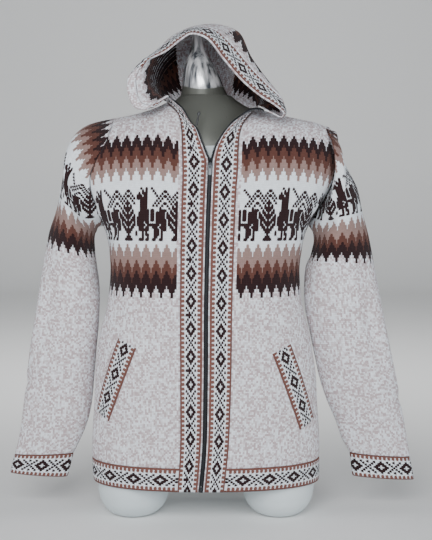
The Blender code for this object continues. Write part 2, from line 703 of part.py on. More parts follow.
def sleeve_pieces(armholes, knit):
    for sign, seam, table, cuff in (
        (1, "left", SLEEVE_LEFT, CUFF_LEFT),
        (-1, "right", SLEEVE_RIGHT, CUFF_RIGHT),
    ):
        rings = [sleeve_ring(sign, row, SLEEVE_STEPS) for row in table]
        first, facing = armhole_ring(*armholes[seam])
        grid = np.array([first, *rings])
        out = normals_of(grid, wrap=True, flip=sign < 0)
        out[0] = facing
        wall("sleeve_" + seam, grid, knit, wrap=True, normals=out)
        ends = [sleeve_ring(sign, row, SLEEVE_STEPS) for row in cuff]
        wall("cuff_" + seam, np.array(ends), knit, wrap=True, flip=sign < 0)


def hood_pieces(back_edge, knit):
    """The hood behind its edging. Its last rib follows the back neckline, just above it."""
    inner = [p for p in back_edge if -NECK_POINTS["right"] <= p[0] <= NECK_POINTS["left"]]
    last = even_points(inner, len(RIBS[0])) + (0, 0, 0.0012)
    ribs = (*RIBS, tuple(map(tuple, last)))
    along = np.linspace(0, 1, HOOD_STEPS + 1)
    seam = BAND_SEAM_RIB
    for name, rows in (
        ("hood_band", np.linspace(0, seam - 0.01, BAND_ROWS + 1)),
        ("hood", np.linspace(seam + 0.01, len(ribs) - 1, HOOD_ROWS + 1)),
    ):
        grid = spline_rows(ribs, rows, along)
        step = 0.02
        down = spline_rows(ribs, rows + step, along) - spline_rows(ribs, rows - step, along)
        over = spline_rows(ribs, rows, along + step) - spline_rows(ribs, rows, along - step)
        out = np.cross(over, down)
        wall(name, grid, knit, normals=out / np.linalg.norm(out, axis=2, keepdims=True))


def pocket_pieces(panels, knit):
    for seam in ("left", "right"):
        front = panels[seam][0]
        top_out, top_z, low_out, low_z = POCKETS[seam]
        ends = []
        for out, z in ((top_out, top_z), (low_out, low_z)):
            x, way, _y = front.around(z)
            ends.append((float(np.interp(out, x, way)), z))
        (along_top, z_top), (along_low, z_low) = ends
        length = math.hypot(along_low - along_top, z_low - z_top)
        side = np.array([z_top - z_low, along_low - along_top]) / length * POCKET_WIDTH / 2
        rows = []
        for share in np.linspace(1, 0, 8):
            row = []
            for across in np.linspace(-1, 1, 4):
                along = along_top + (along_low - along_top) * share + side[0] * across
                z = z_top + (z_low - z_top) * share + side[1] * across
                row.append(front.at(along, z))
            rows.append(row)
        grid = np.array(rows)
        flip = front.sign < 0
        out = normals_of(grid, flip=flip)
        wall("pocket_trim_" + seam, grid + out * (CLOTH + 2 * SEAM_GAP), knit, normals=out)


def along_row(points, normals, across):
    """The place and normal this far along a row of points, from its first one."""
    way = np.concatenate([[0], np.cumsum(np.linalg.norm(np.diff(points, axis=0), axis=1))])
    if across < 0:
        back = (points[1] - points[0]) / way[1]
        return points[0] + back * across, normals[0]
    place = np.array([np.interp(across, way, points[:, k]) for k in range(3)])
    facing = np.array([np.interp(across, way, normals[:, k]) for k in range(3)])
    return place, facing / np.linalg.norm(facing)


def ribbon(name, band, rows, edges, lift, thickness, finish):
    """A strip along the zip's edge, between two distances across the edging."""
    points, normals = band
    grid, out = [], []
    for k in rows:
        found = [along_row(points[k], normals[k], q) for q in edges]
        grid.append([place + normal * lift for place, normal in found])
        out.append([normal for _place, normal in found])
    return wall(name, np.array(grid), finish, thickness=thickness, normals=np.array(out))


def box(bm, low, high, turn=None):
    """A box between two corners, turned and moved by a matrix."""
    made = bmesh.ops.create_cube(bm, size=1.0)["verts"]
    low, high = Vector(low), Vector(high)
    bmesh.ops.scale(bm, vec=high - low, verts=made)
    bmesh.ops.translate(bm, vec=(high + low) / 2, verts=made)
    if turn:
        bmesh.ops.transform(bm, matrix=turn, verts=made)


def rod(bm, radius, low, high, sides=12):
    """A round rod along X."""
    half = (high - low) / 2
    turn = Matrix.Translation(((low + high) / 2, 0, 0)) @ Matrix.Rotation(math.pi / 2, 4, "Y")
    bmesh.ops.create_cone(
        bm, cap_ends=True, segments=sides, radius1=radius, radius2=radius, depth=2 * half, matrix=turn
    )


def join(base, parts):
    """Unite helper bodies with their base."""
    for name, bm in parts:
        part = new_object(name, bm, base.data.materials[0])
        part.location = base.location
        part.hide_render = True
        part.display_type = "WIRE"
        union = base.modifiers.new("with_" + name, "BOOLEAN")
        union.operation = "UNION"
        union.object = part


def zip_pieces(bands, tape, dark, metal):
    """The tapes, the closed teeth up to the slider, the open rows above it, and the ends."""
    under = -(CLOTH + TAPE_GAP)
    chain = under + TOOTH + 2 * SEAM_GAP
    heights = bands["left"][0][:, 0, 2]
    closed = [k for k, z in enumerate(heights) if z < SLIDER_HEIGHT - SLIDER_TALL / 2]
    for sign, seam in ((1, "left"), (-1, "right")):
        points, normals = bands[seam]
        rows = range(len(points))
        ribbon("zip_tape_" + seam, bands[seam], rows, TAPE_EDGES, under, TAPE, tape)
        opened = [k for k in rows if points[k, 0, 2] > SLIDER_HEIGHT + SLIDER_TALL / 2]
        shorter = points.copy()
        back = points[-2] - points[-1]
        shorter[-1] += back / np.linalg.norm(back, axis=1, keepdims=True) * (STOP_TALL + 3 * SEAM_GAP)
        teeth = (shorter, normals)
        ribbon("zip_teeth_" + seam, teeth, opened, TEETH_EDGES, chain, TOOTH, dark)
        top_stop(seam, bands[seam], chain, metal)
    middle = (bands["left"][0][closed, 0] + bands["right"][0][closed, 0]) / 2
    middle[:, 1] -= chain
    middle[0] += (middle[1] - middle[0]) * BOX_TALL * 1.2 / (middle[1] - middle[0])[2]
    grid = np.stack([middle + (q, 0, 0) for q in (-CHAIN_HALF, 0, CHAIN_HALF)], axis=1)
    wall("zip_chain", grid, dark, thickness=TOOTH)
    end_box(bands, dark)
    slider_pieces(bands, metal)
    puller(bands["right"], chain, dark)


def top_stop(seam, band, chain, metal):
    """A small metal block beyond the last open tooth."""
    points, normals = band
    across = (TEETH_EDGES[0] + TEETH_EDGES[1]) / 2
    last, out = along_row(points[-1], normals[-1], across)
    before, _out = along_row(points[-2], normals[-2], across)
    up = Vector(last - before).normalized()
    out = Vector(out)
    side = up.cross(out).normalized()
    turn = Matrix((side, up, up.cross(side) * -1)).transposed().to_4x4()
    turn.translation = Vector(last) + out * chain
    wide = (TEETH_EDGES[1] - TEETH_EDGES[0]) / 2
    bm = bmesh.new()
    box(bm, (-wide, -STOP_TALL, -TOOTH), (wide, 0, 0), turn)
    new_object("zip_stop_" + seam, bm, metal)


def zip_middle(bands, z):
    """The zip's middle and its foremost surface at this height, between the two edgings."""
    edges = []
    for points, _normals in bands.values():
        edge = points[:, 0]
        edges.append([np.interp(z, edge[:, 2], edge[:, k]) for k in range(2)])
    (x_one, y_one), (x_two, y_two) = edges
    return (x_one + x_two) / 2, min(y_one, y_two)


def end_box(bands, dark):
    """The block that holds the zip's lower end."""
    x, surface = zip_middle(bands, HEM_BOTTOM + BOX_TALL / 2)
    back = surface + CLOTH + TAPE_GAP - SEAM_GAP
    bm = bmesh.new()
    low = (x - BOX_WIDE / 2, surface - SEAM_GAP, HEM_BOTTOM)
    box(bm, low, (x + BOX_WIDE / 2, back, HEM_BOTTOM + BOX_TALL))
    new_object("zip_box", bm, dark)


def slider_pieces(bands, metal):
    """The slider with its bridge, and the pull that swings on a bar through the bridge."""
    x, surface = zip_middle(bands, SLIDER_HEIGHT)
    _x, above = zip_middle(bands, SLIDER_HEIGHT + SLIDER_TALL / 2)
    back = min(surface, above) + CLOTH + TAPE_GAP - 2 * SEAM_GAP
    front = surface - SLIDER_RISE
    bm = bmesh.new()
    half = SLIDER_TALL / 2
    box(bm, (-SLIDER_WIDE / 2, 0, -half), (SLIDER_WIDE / 2, back - front, half))
    slider = new_object("zip_slider", bm, metal)
    slider.location = (x, front, SLIDER_HEIGHT)
    bevel = slider.modifiers.new("soft_edges", "BEVEL")
    bevel.width = 0.0008
    bevel.segments = 2
    parts = []
    for name, low, high in (
        ("bridge_low", -BRIDGE_TALL / 2, -BRIDGE_TALL / 2 + BRIDGE),
        ("bridge_high", BRIDGE_TALL / 2 - BRIDGE, BRIDGE_TALL / 2),
    ):
        bm = bmesh.new()
        box(bm, (-BRIDGE_WIDE / 2, -BRIDGE_RISE, low), (BRIDGE_WIDE / 2, BRIDGE, high))
        parts.append((name, bm))
    bm = bmesh.new()
    low = (-BRIDGE_WIDE / 2, -BRIDGE_RISE, -BRIDGE_TALL / 2)
    box(bm, low, (BRIDGE_WIDE / 2, BRIDGE - BRIDGE_RISE, BRIDGE_TALL / 2))
    parts.append(("bridge_bar", bm))
    join(slider, parts)
    bm = bmesh.new()
    rod(bm, PULL_BAR, -PULL_WIDE / 2 + PULL_ARM / 2, PULL_WIDE / 2 - PULL_ARM / 2)
    pull = new_object("zip_pull", bm, metal)
    pull.location = (x, front - PULL_AXIS, SLIDER_HEIGHT)
    parts = []
    for name, side in (("arm_low_x", -1), ("arm_high_x", 1)):
        bm = bmesh.new()
        middle = side * (PULL_WIDE - PULL_ARM) / 2
        low = (middle - PULL_ARM / 2, -PULL_BAR, -PULL_WINDOW - PULL_ARM)
        box(bm, low, (middle + PULL_ARM / 2, PULL_BAR, PULL_ARM / 2))
        parts.append((name, bm))
    bm = bmesh.new()
    low = (-PULL_WIDE / 2, -PULL_BAR, -PULL_TALL)
    box(bm, low, (PULL_WIDE / 2, PULL_BAR, -PULL_WINDOW))
    parts.append(("plate", bm))
    join(pull, parts)


def puller(band, chain, dark):
    """A small moulded tab that stands on the open zip's right half."""
    points, normals = band
    row = int(np.argmin(np.abs(points[:, 0, 2] - PULLER_HEIGHT)))
    place, out = along_row(points[row], normals[row], PULLER_ACROSS)
    base = Vector(place + out * chain)
    lean = Vector(PULLER_LEAN)
    rings = []
    for up, wide, thick in PULLER:
        rings.append([
            base + lean * up + Vector((wide * math.cos(turn), thick * math.sin(turn), up))
            for turn in np.linspace(0, 2 * math.pi, PULLER_SIDES + 1)[:-1]
        ])
    loft("zip_puller", rings, dark)


def form_pieces(plastic, metal):
    """The torso with its stubs and neck base, and the neck's column on it."""
    heights = np.concatenate([
        np.linspace(0.085, 0.66, 16), np.linspace(0.68, 0.74, 7), np.linspace(0.746, 0.7752, 6)
    ])
    rings = []
    for z in heights:
        tucked = FORM_INSET * min(1.0, max(0.12, (0.75 - z) / 0.06))
        outs = {sign: reach(sign, z, tucked, FORM_DROP) for sign in (1, -1)}
        ring = []
        for k in range(FORM_STEPS):
            turn = 2 * math.pi * (k + 0.5) / FORM_STEPS
            x = outs[1 if math.sin(turn) > 0 else -1] * math.sin(turn)
            side = "front" if math.cos(turn) > 0 else "back"
            y = float(depth(side, x, z, FORM_INSET * 0.8, FORM_DROP))
            ring.append((x, -y if side == "front" else y, z))
        rings.append(ring)
    torso = loft("form_torso", rings, plastic)
    for sign, seam in ((1, "left"), (-1, "right")):
        rings = []
        for z, share in STUB:
            rings.append([
                (
                    sign * STUB_X + STUB_WIDE * share * math.cos(turn),
                    STUB_DEEP * share * math.sin(turn),
                    z,
                )
                for turn in np.linspace(0, 2 * math.pi, 25)[:-1]
            ])
        stub = loft("stub_" + seam, rings, plastic)
        stub.hide_render = True
        stub.display_type = "WIRE"
        union = torso.modifiers.new("with_stub_" + seam, "BOOLEAN")
        union.operation = "UNION"
        union.object = stub
    rings = []
    for z, middle, wide, deep in NECK_FORM:
        rings.append([
            (middle + wide * math.cos(turn), NECK_FORM_Y + deep * math.sin(turn), z)
            for turn in np.linspace(0, 2 * math.pi, 25)[:-1]
        ])
    loft("form_neck", rings, metal)


def centre_on_origin():
    """Put the origin under the middle of the whole part."""
    points = np.array([tuple(o.location + v.co) for o in bpy.data.objects for v in o.data.vertices])
    middle = (points.min(axis=0) + points.max(axis=0)) / 2
    for made in bpy.data.objects:
        made.location -= Vector((middle[0], middle[1], 0))


def main():
    for old in list(bpy.data.objects):
        bpy.data.objects.remove(old, do_unlink=True)
    knit = material("knit", (0.60, 0.54, 0.50), 0.95)
    tape = material("zip_tape", (0.02, 0.02, 0.025), 0.8)
    dark = material("zip_teeth", (0.03, 0.03, 0.035), 0.4)
    metal = material("metal", (0.55, 0.56, 0.55), 0.25, 1.0)
    plastic = material("form_plastic", (0.66, 0.69, 0.69), 0.4)
    panels, armholes, back, bands = body_pieces(knit)
    sleeve_pieces(armholes, knit)
    hood_pieces(back[-1], knit)
    pocket_pieces(panels, knit)
    zip_pieces(bands, tape, dark, metal)
    form_pieces(plastic, metal)
    centre_on_origin()


main()
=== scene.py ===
import math

import bmesh
import bpy
import numpy as np
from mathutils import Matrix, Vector


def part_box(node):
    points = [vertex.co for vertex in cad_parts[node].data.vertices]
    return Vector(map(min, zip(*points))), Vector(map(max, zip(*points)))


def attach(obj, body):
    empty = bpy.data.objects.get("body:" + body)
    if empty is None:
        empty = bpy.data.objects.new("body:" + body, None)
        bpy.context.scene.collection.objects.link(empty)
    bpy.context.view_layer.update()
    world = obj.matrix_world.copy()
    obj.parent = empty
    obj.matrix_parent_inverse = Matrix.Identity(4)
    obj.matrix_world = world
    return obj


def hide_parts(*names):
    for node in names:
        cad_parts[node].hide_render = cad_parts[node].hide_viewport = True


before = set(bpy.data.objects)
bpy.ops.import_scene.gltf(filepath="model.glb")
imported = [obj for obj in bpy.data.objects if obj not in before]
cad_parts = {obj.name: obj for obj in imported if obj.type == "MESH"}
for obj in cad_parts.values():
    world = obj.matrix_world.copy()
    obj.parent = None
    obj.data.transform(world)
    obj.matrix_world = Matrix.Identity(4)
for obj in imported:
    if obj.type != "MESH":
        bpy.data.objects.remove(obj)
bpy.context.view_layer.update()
random = np.random.default_rng(7)
wearer = "sweater_and_form"
bpy.ops.object.select_all(action="DESELECT")

# The model is drawn round the middle of the neck, then moved to where the frame has it.
neckReach = {"side": 0.047, "front": 0.041}
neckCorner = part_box("form_neck")[0]
shift = np.array([neckCorner[0] + neckReach["side"], neckCorner[1] + neckReach["front"], 0.0])


cloth = {
    "thickness": 0.0022,
    "seamGap": 0.0003,
    "armholeGap": 0.0009,
    "seamTuck": 0.0009,
    "tuckBeside": 0.35,  # share of the tuck one stitch in from the seam
    "hemBottom": 0.066,
    "hemHeight": 0.043,
    "armpit": 0.537,
    "sidePower": 2.35,
    "shoulderPower": 3.2,
    "backNeck": 0.766,
    "zipGap": 0.0040,
    "sliderHeight": 0.645,
    "bandBulge": 0.005,
    "bandRoll": 0.05,  # how far above the slider the edging takes to roll open
    "lapelFrom": 0.60,
    "lapelBlend": 0.055,
}
lattice = {
    "station": 0.002,
    "row": 0.0015,
    "around": 0.304,
    "above": 0.36,
    "levels": 260,
    "turns": 200,
    "widest": 0.262,
}
neckPoints = {"left": 0.0945, "right": 0.0725}
armpit = cloth["armpit"]
hemTop = cloth["hemBottom"] + cloth["hemHeight"]

# The body's sections from the hem up, as reaches from the middle.
sectionColumns = ("height", "right", "left", "front", "back")
sections = (
    (0.060, 0.2115, 0.2125, 0.112, 0.113),
    (0.110, 0.2136, 0.2125, 0.115, 0.117),
    (0.160, 0.2122, 0.2112, 0.117, 0.119),
    (0.210, 0.2087, 0.2075, 0.118, 0.121),
    (0.260, 0.2070, 0.2050, 0.117, 0.120),
    (0.320, 0.2010, 0.1955, 0.114, 0.116),
    (0.350, 0.1950, 0.1895, 0.113, 0.1135),
    (0.380, 0.1860, 0.1815, 0.112, 0.111),
    (0.430, 0.1785, 0.1745, 0.111, 0.108),
    (0.470, 0.1771, 0.1740, 0.112, 0.108),
    (0.505, 0.1805, 0.1795, 0.115, 0.111),
    (0.537, 0.1890, 0.1890, 0.117, 0.115),
    (0.570, 0.2080, 0.2080, 0.119, 0.118),
    (0.610, 0.2330, 0.2330, 0.119, 0.121),
    (0.650, 0.2450, 0.2450, 0.117, 0.122),
    (0.690, 0.2470, 0.2470, 0.114, 0.120),
    (0.730, 0.2470, 0.2470, 0.110, 0.114),
    (0.800, 0.2470, 0.2470, 0.102, 0.104),
)
# The top line of the shoulders.
ridgeColumns = ("out", "height")
ridgeLine = (
    (0.000, 0.806), (0.040, 0.788), (0.060, 0.772), (0.085, 0.758), (0.120, 0.7455),
    (0.170, 0.7345), (0.210, 0.7245), (0.232, 0.7130), (0.243, 0.6990), (0.247, 0.6850),
)
# The zip's place and the edging's width, up to the slider, then the open neck on each side.
frontColumns = ("height", "zipX", "band")
frontLine = (
    (0.060, -0.0092, 0.0375),
    (0.140, -0.0024, 0.0390),
    (0.250, 0.0002, 0.0410),
    (0.410, 0.0014, 0.0425),
    (0.620, 0.0074, 0.0435),
    (0.655, 0.0090, 0.0435),
)
neckColumns = ("inX", "inY", "inZ", "outX", "outZ")
neckRight = (
    (-0.0046, -0.1185, 0.655, 0.0405, 0.655),
    (0.0076, -0.1180, 0.687, 0.0415, 0.687),
    (0.0164, -0.1130, 0.710, 0.0425, 0.709),
    (0.0271, -0.1060, 0.723, 0.0445, 0.724),
    (0.0434, -0.0920, 0.745, 0.0530, 0.744),
    (0.0661, -0.0680, 0.766, 0.0700, 0.761),
)
neckLeft = (
    (0.0134, -0.1185, 0.655, 0.0580, 0.655),
    (0.0203, -0.1180, 0.679, 0.0590, 0.679),
    (0.0343, -0.1130, 0.7035, 0.0615, 0.7035),
    (0.0520, -0.1070, 0.721, 0.0670, 0.720),
    (0.0697, -0.1000, 0.734, 0.0760, 0.734),
    (0.0859, -0.0920, 0.7412, 0.0850, 0.744),
    (0.1023, -0.0830, 0.7400, 0.0930, 0.7505),
)
# How far out the armhole's seam is, by height.
armholeColumns = ("height", "right", "left")
armholeLine = (
    (0.537, 0.1890, 0.1890),
    (0.556, 0.1935, 0.1985),
    (0.589, 0.2030, 0.2150),
    (0.612, 0.2070, 0.2200),
    (0.632, 0.2050, 0.2185),
    (0.652, 0.1970, 0.2125),
    (0.676, 0.1850, 0.2030),
    (0.700, 0.1740, 0.1960),
    (0.735, 0.1670, 0.1930),
)
# Each ring of a sleeve: outer x and z, inner x and z, half depth, bow.
sleeveRight = (
    (0.2120, 0.7250, 0.1995, 0.5350, 0.066, 0.030),
    (0.2365, 0.7075, 0.2015, 0.5315, 0.072, 0.029),
    (0.2465, 0.6835, 0.2030, 0.5275, 0.076, 0.024),
    (0.2535, 0.6530, 0.2062, 0.5210, 0.077, 0.017),
    (0.2630, 0.6170, 0.2072, 0.5080, 0.075, 0.012),
    (0.2735, 0.5740, 0.2060, 0.4870, 0.071, 0.008),
    (0.2905, 0.5240, 0.2030, 0.4620, 0.063, 0.004),
    (0.3020, 0.4680, 0.1990, 0.4300, 0.054, 0.0),
    (0.3105, 0.4180, 0.1985, 0.3930, 0.047, 0.0),
    (0.3205, 0.3600, 0.2010, 0.3450, 0.041, 0.0),
    (0.3290, 0.3090, 0.2055, 0.2980, 0.037, 0.0),
    (0.3360, 0.2580, 0.2095, 0.2500, 0.033, 0.0),
    (0.3412, 0.2130, 0.2140, 0.2070, 0.030, 0.0),
    (0.3466, 0.1720, 0.2225, 0.1700, 0.026, 0.0),
    (0.3530, 0.1352, 0.2367, 0.1352, 0.021, 0.0),
    (0.3600, 0.1095, 0.2488, 0.1118, 0.0165, 0.0),
)
cuffRight = (
    (0.3603, 0.1089, 0.2492, 0.1112, 0.0165, 0.0),
    (0.3650, 0.0915, 0.2550, 0.0885, 0.0150, 0.0),
    (0.3693, 0.0738, 0.2610, 0.0660, 0.0145, 0.0),
)
sleeveLeft = (
    (0.2150, 0.7180, 0.1950, 0.5310, 0.066, 0.026),
    (0.2350, 0.7020, 0.1975, 0.5270, 0.071, 0.026),
    (0.2425, 0.6800, 0.1995, 0.5190, 0.074, 0.023),
    (0.2560, 0.6490, 0.2000, 0.5080, 0.075, 0.017),
    (0.2770, 0.6110, 0.1975, 0.4950, 0.075, 0.013),
    (0.2900, 0.5600, 0.1935, 0.4800, 0.070, 0.008),
    (0.3016, 0.5186, 0.1860, 0.4630, 0.063, 0.004),
    (0.3130, 0.4620, 0.1830, 0.4350, 0.055, 0.0),
    (0.3240, 0.4080, 0.1845, 0.3870, 0.047, 0.0),
    (0.3345, 0.3600, 0.1930, 0.3420, 0.041, 0.0),
    (0.3428, 0.3200, 0.2012, 0.3020, 0.037, 0.0),
    (0.3545, 0.2640, 0.2125, 0.2520, 0.033, 0.0),
    (0.3632, 0.2180, 0.2270, 0.2090, 0.030, 0.0),
    (0.3712, 0.1750, 0.2430, 0.1720, 0.026, 0.0),
    (0.3780, 0.1370, 0.2540, 0.1400, 0.021, 0.0),
    (0.3832, 0.1048, 0.2692, 0.1126, 0.0165, 0.0),
)
cuffLeft = (
    (0.3835, 0.1042, 0.2695, 0.1120, 0.0165, 0.0),
    (0.3880, 0.0820, 0.2722, 0.0900, 0.0150, 0.0),
    (0.3925, 0.0605, 0.2749, 0.0680, 0.0145, 0.0),
)
# The hood's ribs, from its right corner over the head to its left corner.
hoodRibs = (
    (
        (-0.0650, -0.0730, 0.7680), (-0.0900, -0.0780, 0.7560), (-0.1150, -0.0620, 0.7560),
        (-0.1230, -0.0480, 0.7800), (-0.1170, -0.0560, 0.8060), (-0.1000, -0.0730, 0.8330),
        (-0.0700, -0.0760, 0.8490), (-0.0440, -0.0700, 0.8700), (-0.0240, -0.0700, 0.8805),
        (0.0050, -0.0780, 0.8690), (0.0320, -0.0900, 0.8330), (0.0620, -0.1010, 0.7970),
        (0.0920, -0.1080, 0.7700), (0.1200, -0.1120, 0.7520), (0.1380, -0.1060, 0.7380),
        (0.1330, -0.0920, 0.7290), (0.1180, -0.0880, 0.7360), (0.1040, -0.0855, 0.7430),
    ),
    (
        (-0.0690, -0.0570, 0.7690), (-0.0930, -0.0780, 0.7480), (-0.1230, -0.0820, 0.7500),
        (-0.1360, -0.0740, 0.7760), (-0.1345, -0.0700, 0.8040), (-0.1140, -0.0680, 0.8310),
        (-0.0790, -0.0600, 0.8560), (-0.0500, -0.0500, 0.8800), (-0.0210, -0.0480, 0.8920),
        (0.0130, -0.0560, 0.8840), (0.0450, -0.0720, 0.8480), (0.0740, -0.0840, 0.8110),
        (0.1030, -0.0930, 0.7820), (0.1290, -0.0980, 0.7610), (0.1430, -0.0880, 0.7410),
        (0.1360, -0.0700, 0.7320), (0.1200, -0.0660, 0.7380), (0.1050, -0.0640, 0.7450),
    ),
    (
        (-0.0740, -0.0400, 0.7690), (-0.0890, -0.0640, 0.7600), (-0.1040, -0.0740, 0.7640),
        (-0.1090, -0.0620, 0.7820), (-0.1120, -0.0560, 0.8060), (-0.1030, -0.0500, 0.8330),
        (-0.0830, -0.0400, 0.8600), (-0.0560, -0.0300, 0.8840), (-0.0190, -0.0260, 0.8985),
        (0.0200, -0.0300, 0.8950), (0.0560, -0.0480, 0.8640), (0.0830, -0.0610, 0.8280),
        (0.1100, -0.0700, 0.7960), (0.1330, -0.0740, 0.7700), (0.1400, -0.0660, 0.7480),
        (0.1300, -0.0520, 0.7400), (0.1170, -0.0490, 0.7430), (0.1040, -0.0440, 0.7490),
    ),
    (
        (-0.0750, -0.0240, 0.7675), (-0.0860, -0.0240, 0.7740), (-0.0980, -0.0200, 0.7840),
        (-0.1060, -0.0140, 0.8000), (-0.1050, -0.0040, 0.8200), (-0.0960, 0.0060, 0.8440),
        (-0.0790, 0.0140, 0.8680), (-0.0540, 0.0180, 0.8890), (-0.0180, 0.0200, 0.9045),
        (0.0240, 0.0180, 0.9075), (0.0610, 0.0060, 0.8925), (0.0800, -0.0100, 0.8500),
        (0.1000, -0.0220, 0.8170), (0.1180, -0.0280, 0.7890), (0.1220, -0.0260, 0.7700),
        (0.1160, -0.0240, 0.7600), (0.1080, -0.0250, 0.7570), (0.1000, -0.0260, 0.7545),
    ),
    (
        (-0.0750, -0.0110, 0.7675), (-0.0860, 0.0120, 0.7770), (-0.0910, 0.0340, 0.7900),
        (-0.0920, 0.0460, 0.8040), (-0.0880, 0.0580, 0.8200), (-0.0790, 0.0690, 0.8380),
        (-0.0630, 0.0780, 0.8560), (-0.0410, 0.0840, 0.8700), (-0.0140, 0.0880, 0.8780),
        (0.0160, 0.0870, 0.8780), (0.0430, 0.0820, 0.8680), (0.0640, 0.0720, 0.8500),
        (0.0800, 0.0590, 0.8290), (0.0920, 0.0450, 0.8070), (0.0980, 0.0330, 0.7900),
        (0.1000, 0.0190, 0.7760), (0.0990, 0.0040, 0.7660), (0.0970, -0.0120, 0.7560),
    ),
    (
        (-0.0745, -0.0020, 0.7670), (-0.0820, 0.0240, 0.7730), (-0.0830, 0.0460, 0.7800),
        (-0.0790, 0.0700, 0.7880), (-0.0710, 0.0820, 0.7950), (-0.0600, 0.0920, 0.8010),
        (-0.0460, 0.1000, 0.8060), (-0.0300, 0.1050, 0.8090), (-0.0110, 0.1070, 0.8100),
        (0.0090, 0.1070, 0.8100), (0.0290, 0.1050, 0.8080), (0.0470, 0.0990, 0.8040),
        (0.0630, 0.0900, 0.7990), (0.0760, 0.0780, 0.7930), (0.0850, 0.0640, 0.7860),
        (0.0910, 0.0440, 0.7770), (0.0940, 0.0220, 0.7680), (0.0960, -0.0020, 0.7560),
    ),
)


def column(table, names, wanted):
    return np.array([row[names.index(wanted)] for row in table])


def smoothBetween(at, knots, values):
    at = np.clip(np.asarray(at, float), knots[0], knots[-1])
    slopes = np.gradient(values, knots)
    k = np.clip(np.searchsorted(knots, at, side="right") - 1, 0, len(knots) - 2)
    width = knots[k + 1] - knots[k]
    t = (at - knots[k]) / width
    return (
        (2 * t**3 - 3 * t**2 + 1) * values[k]
        + (t**3 - 2 * t**2 + t) * width * slopes[k]
        + (3 * t**2 - 2 * t**3) * values[k + 1]
        + (t**3 - t**2) * width * slopes[k + 1]
    )


def fromTable(table, names, wanted, at, by=None):
    return smoothBetween(at, column(table, names, by or names[0]), column(table, names, wanted))


def section(name, z):
    return fromTable(sections, sectionColumns, name, z)


def ridge(x, drop=0.0):
    return fromTable(ridgeLine, ridgeColumns, "height", np.abs(x)) - drop


ridgeOuts = np.linspace(0, ridgeLine[-1][0], 300)
ridgeHeights = ridge(ridgeOuts)


def reach(sign, z, inset=0.0, drop=0.0):
    below = ridgeOuts[ridgeHeights - drop >= z]
    top = below[-1] if len(below) else ridgeOuts[1]
    wide = float(section("left" if sign > 0 else "right", z))
    return min(wide, max(float(top), ridgeOuts[1])) - inset


def depth(side, x, z, inset=0.0, drop=0.0):
    wide = np.where(np.asarray(x) > 0, section("left", z), section("right", z)) - inset
    full = section(side, z) - inset
    share = np.clip(np.abs(x) / wide, 0, 1)
    up = np.clip((z - armpit) / (ridge(x, drop) - armpit), 0, 1)
    power = cloth["sidePower"]
    return full * (1 - share**power) ** (1 / power) * np.sqrt(1 - up ** cloth["shoulderPower"])


def zipX(z):
    return fromTable(frontLine, frontColumns, "zipX", z)


def bandOut(sign, z):
    below = sign * zipX(z) + cloth["zipGap"] + fromTable(frontLine, frontColumns, "band", z)
    table = neckLeft if sign > 0 else neckRight
    above = fromTable(table, neckColumns, "outX", z, by="outZ")
    blend = np.clip((z - cloth["lapelFrom"]) / cloth["lapelBlend"], 0, 1)
    return float(below * (1 - blend) + above * blend)


def lengths(points):
    return np.concatenate([[0], np.cumsum(np.linalg.norm(np.diff(points, axis=0), axis=1))])


def placesAlong(points, at):
    way = lengths(points)
    return np.stack([np.interp(at, way, points[:, axis]) for axis in range(3)], axis=1)


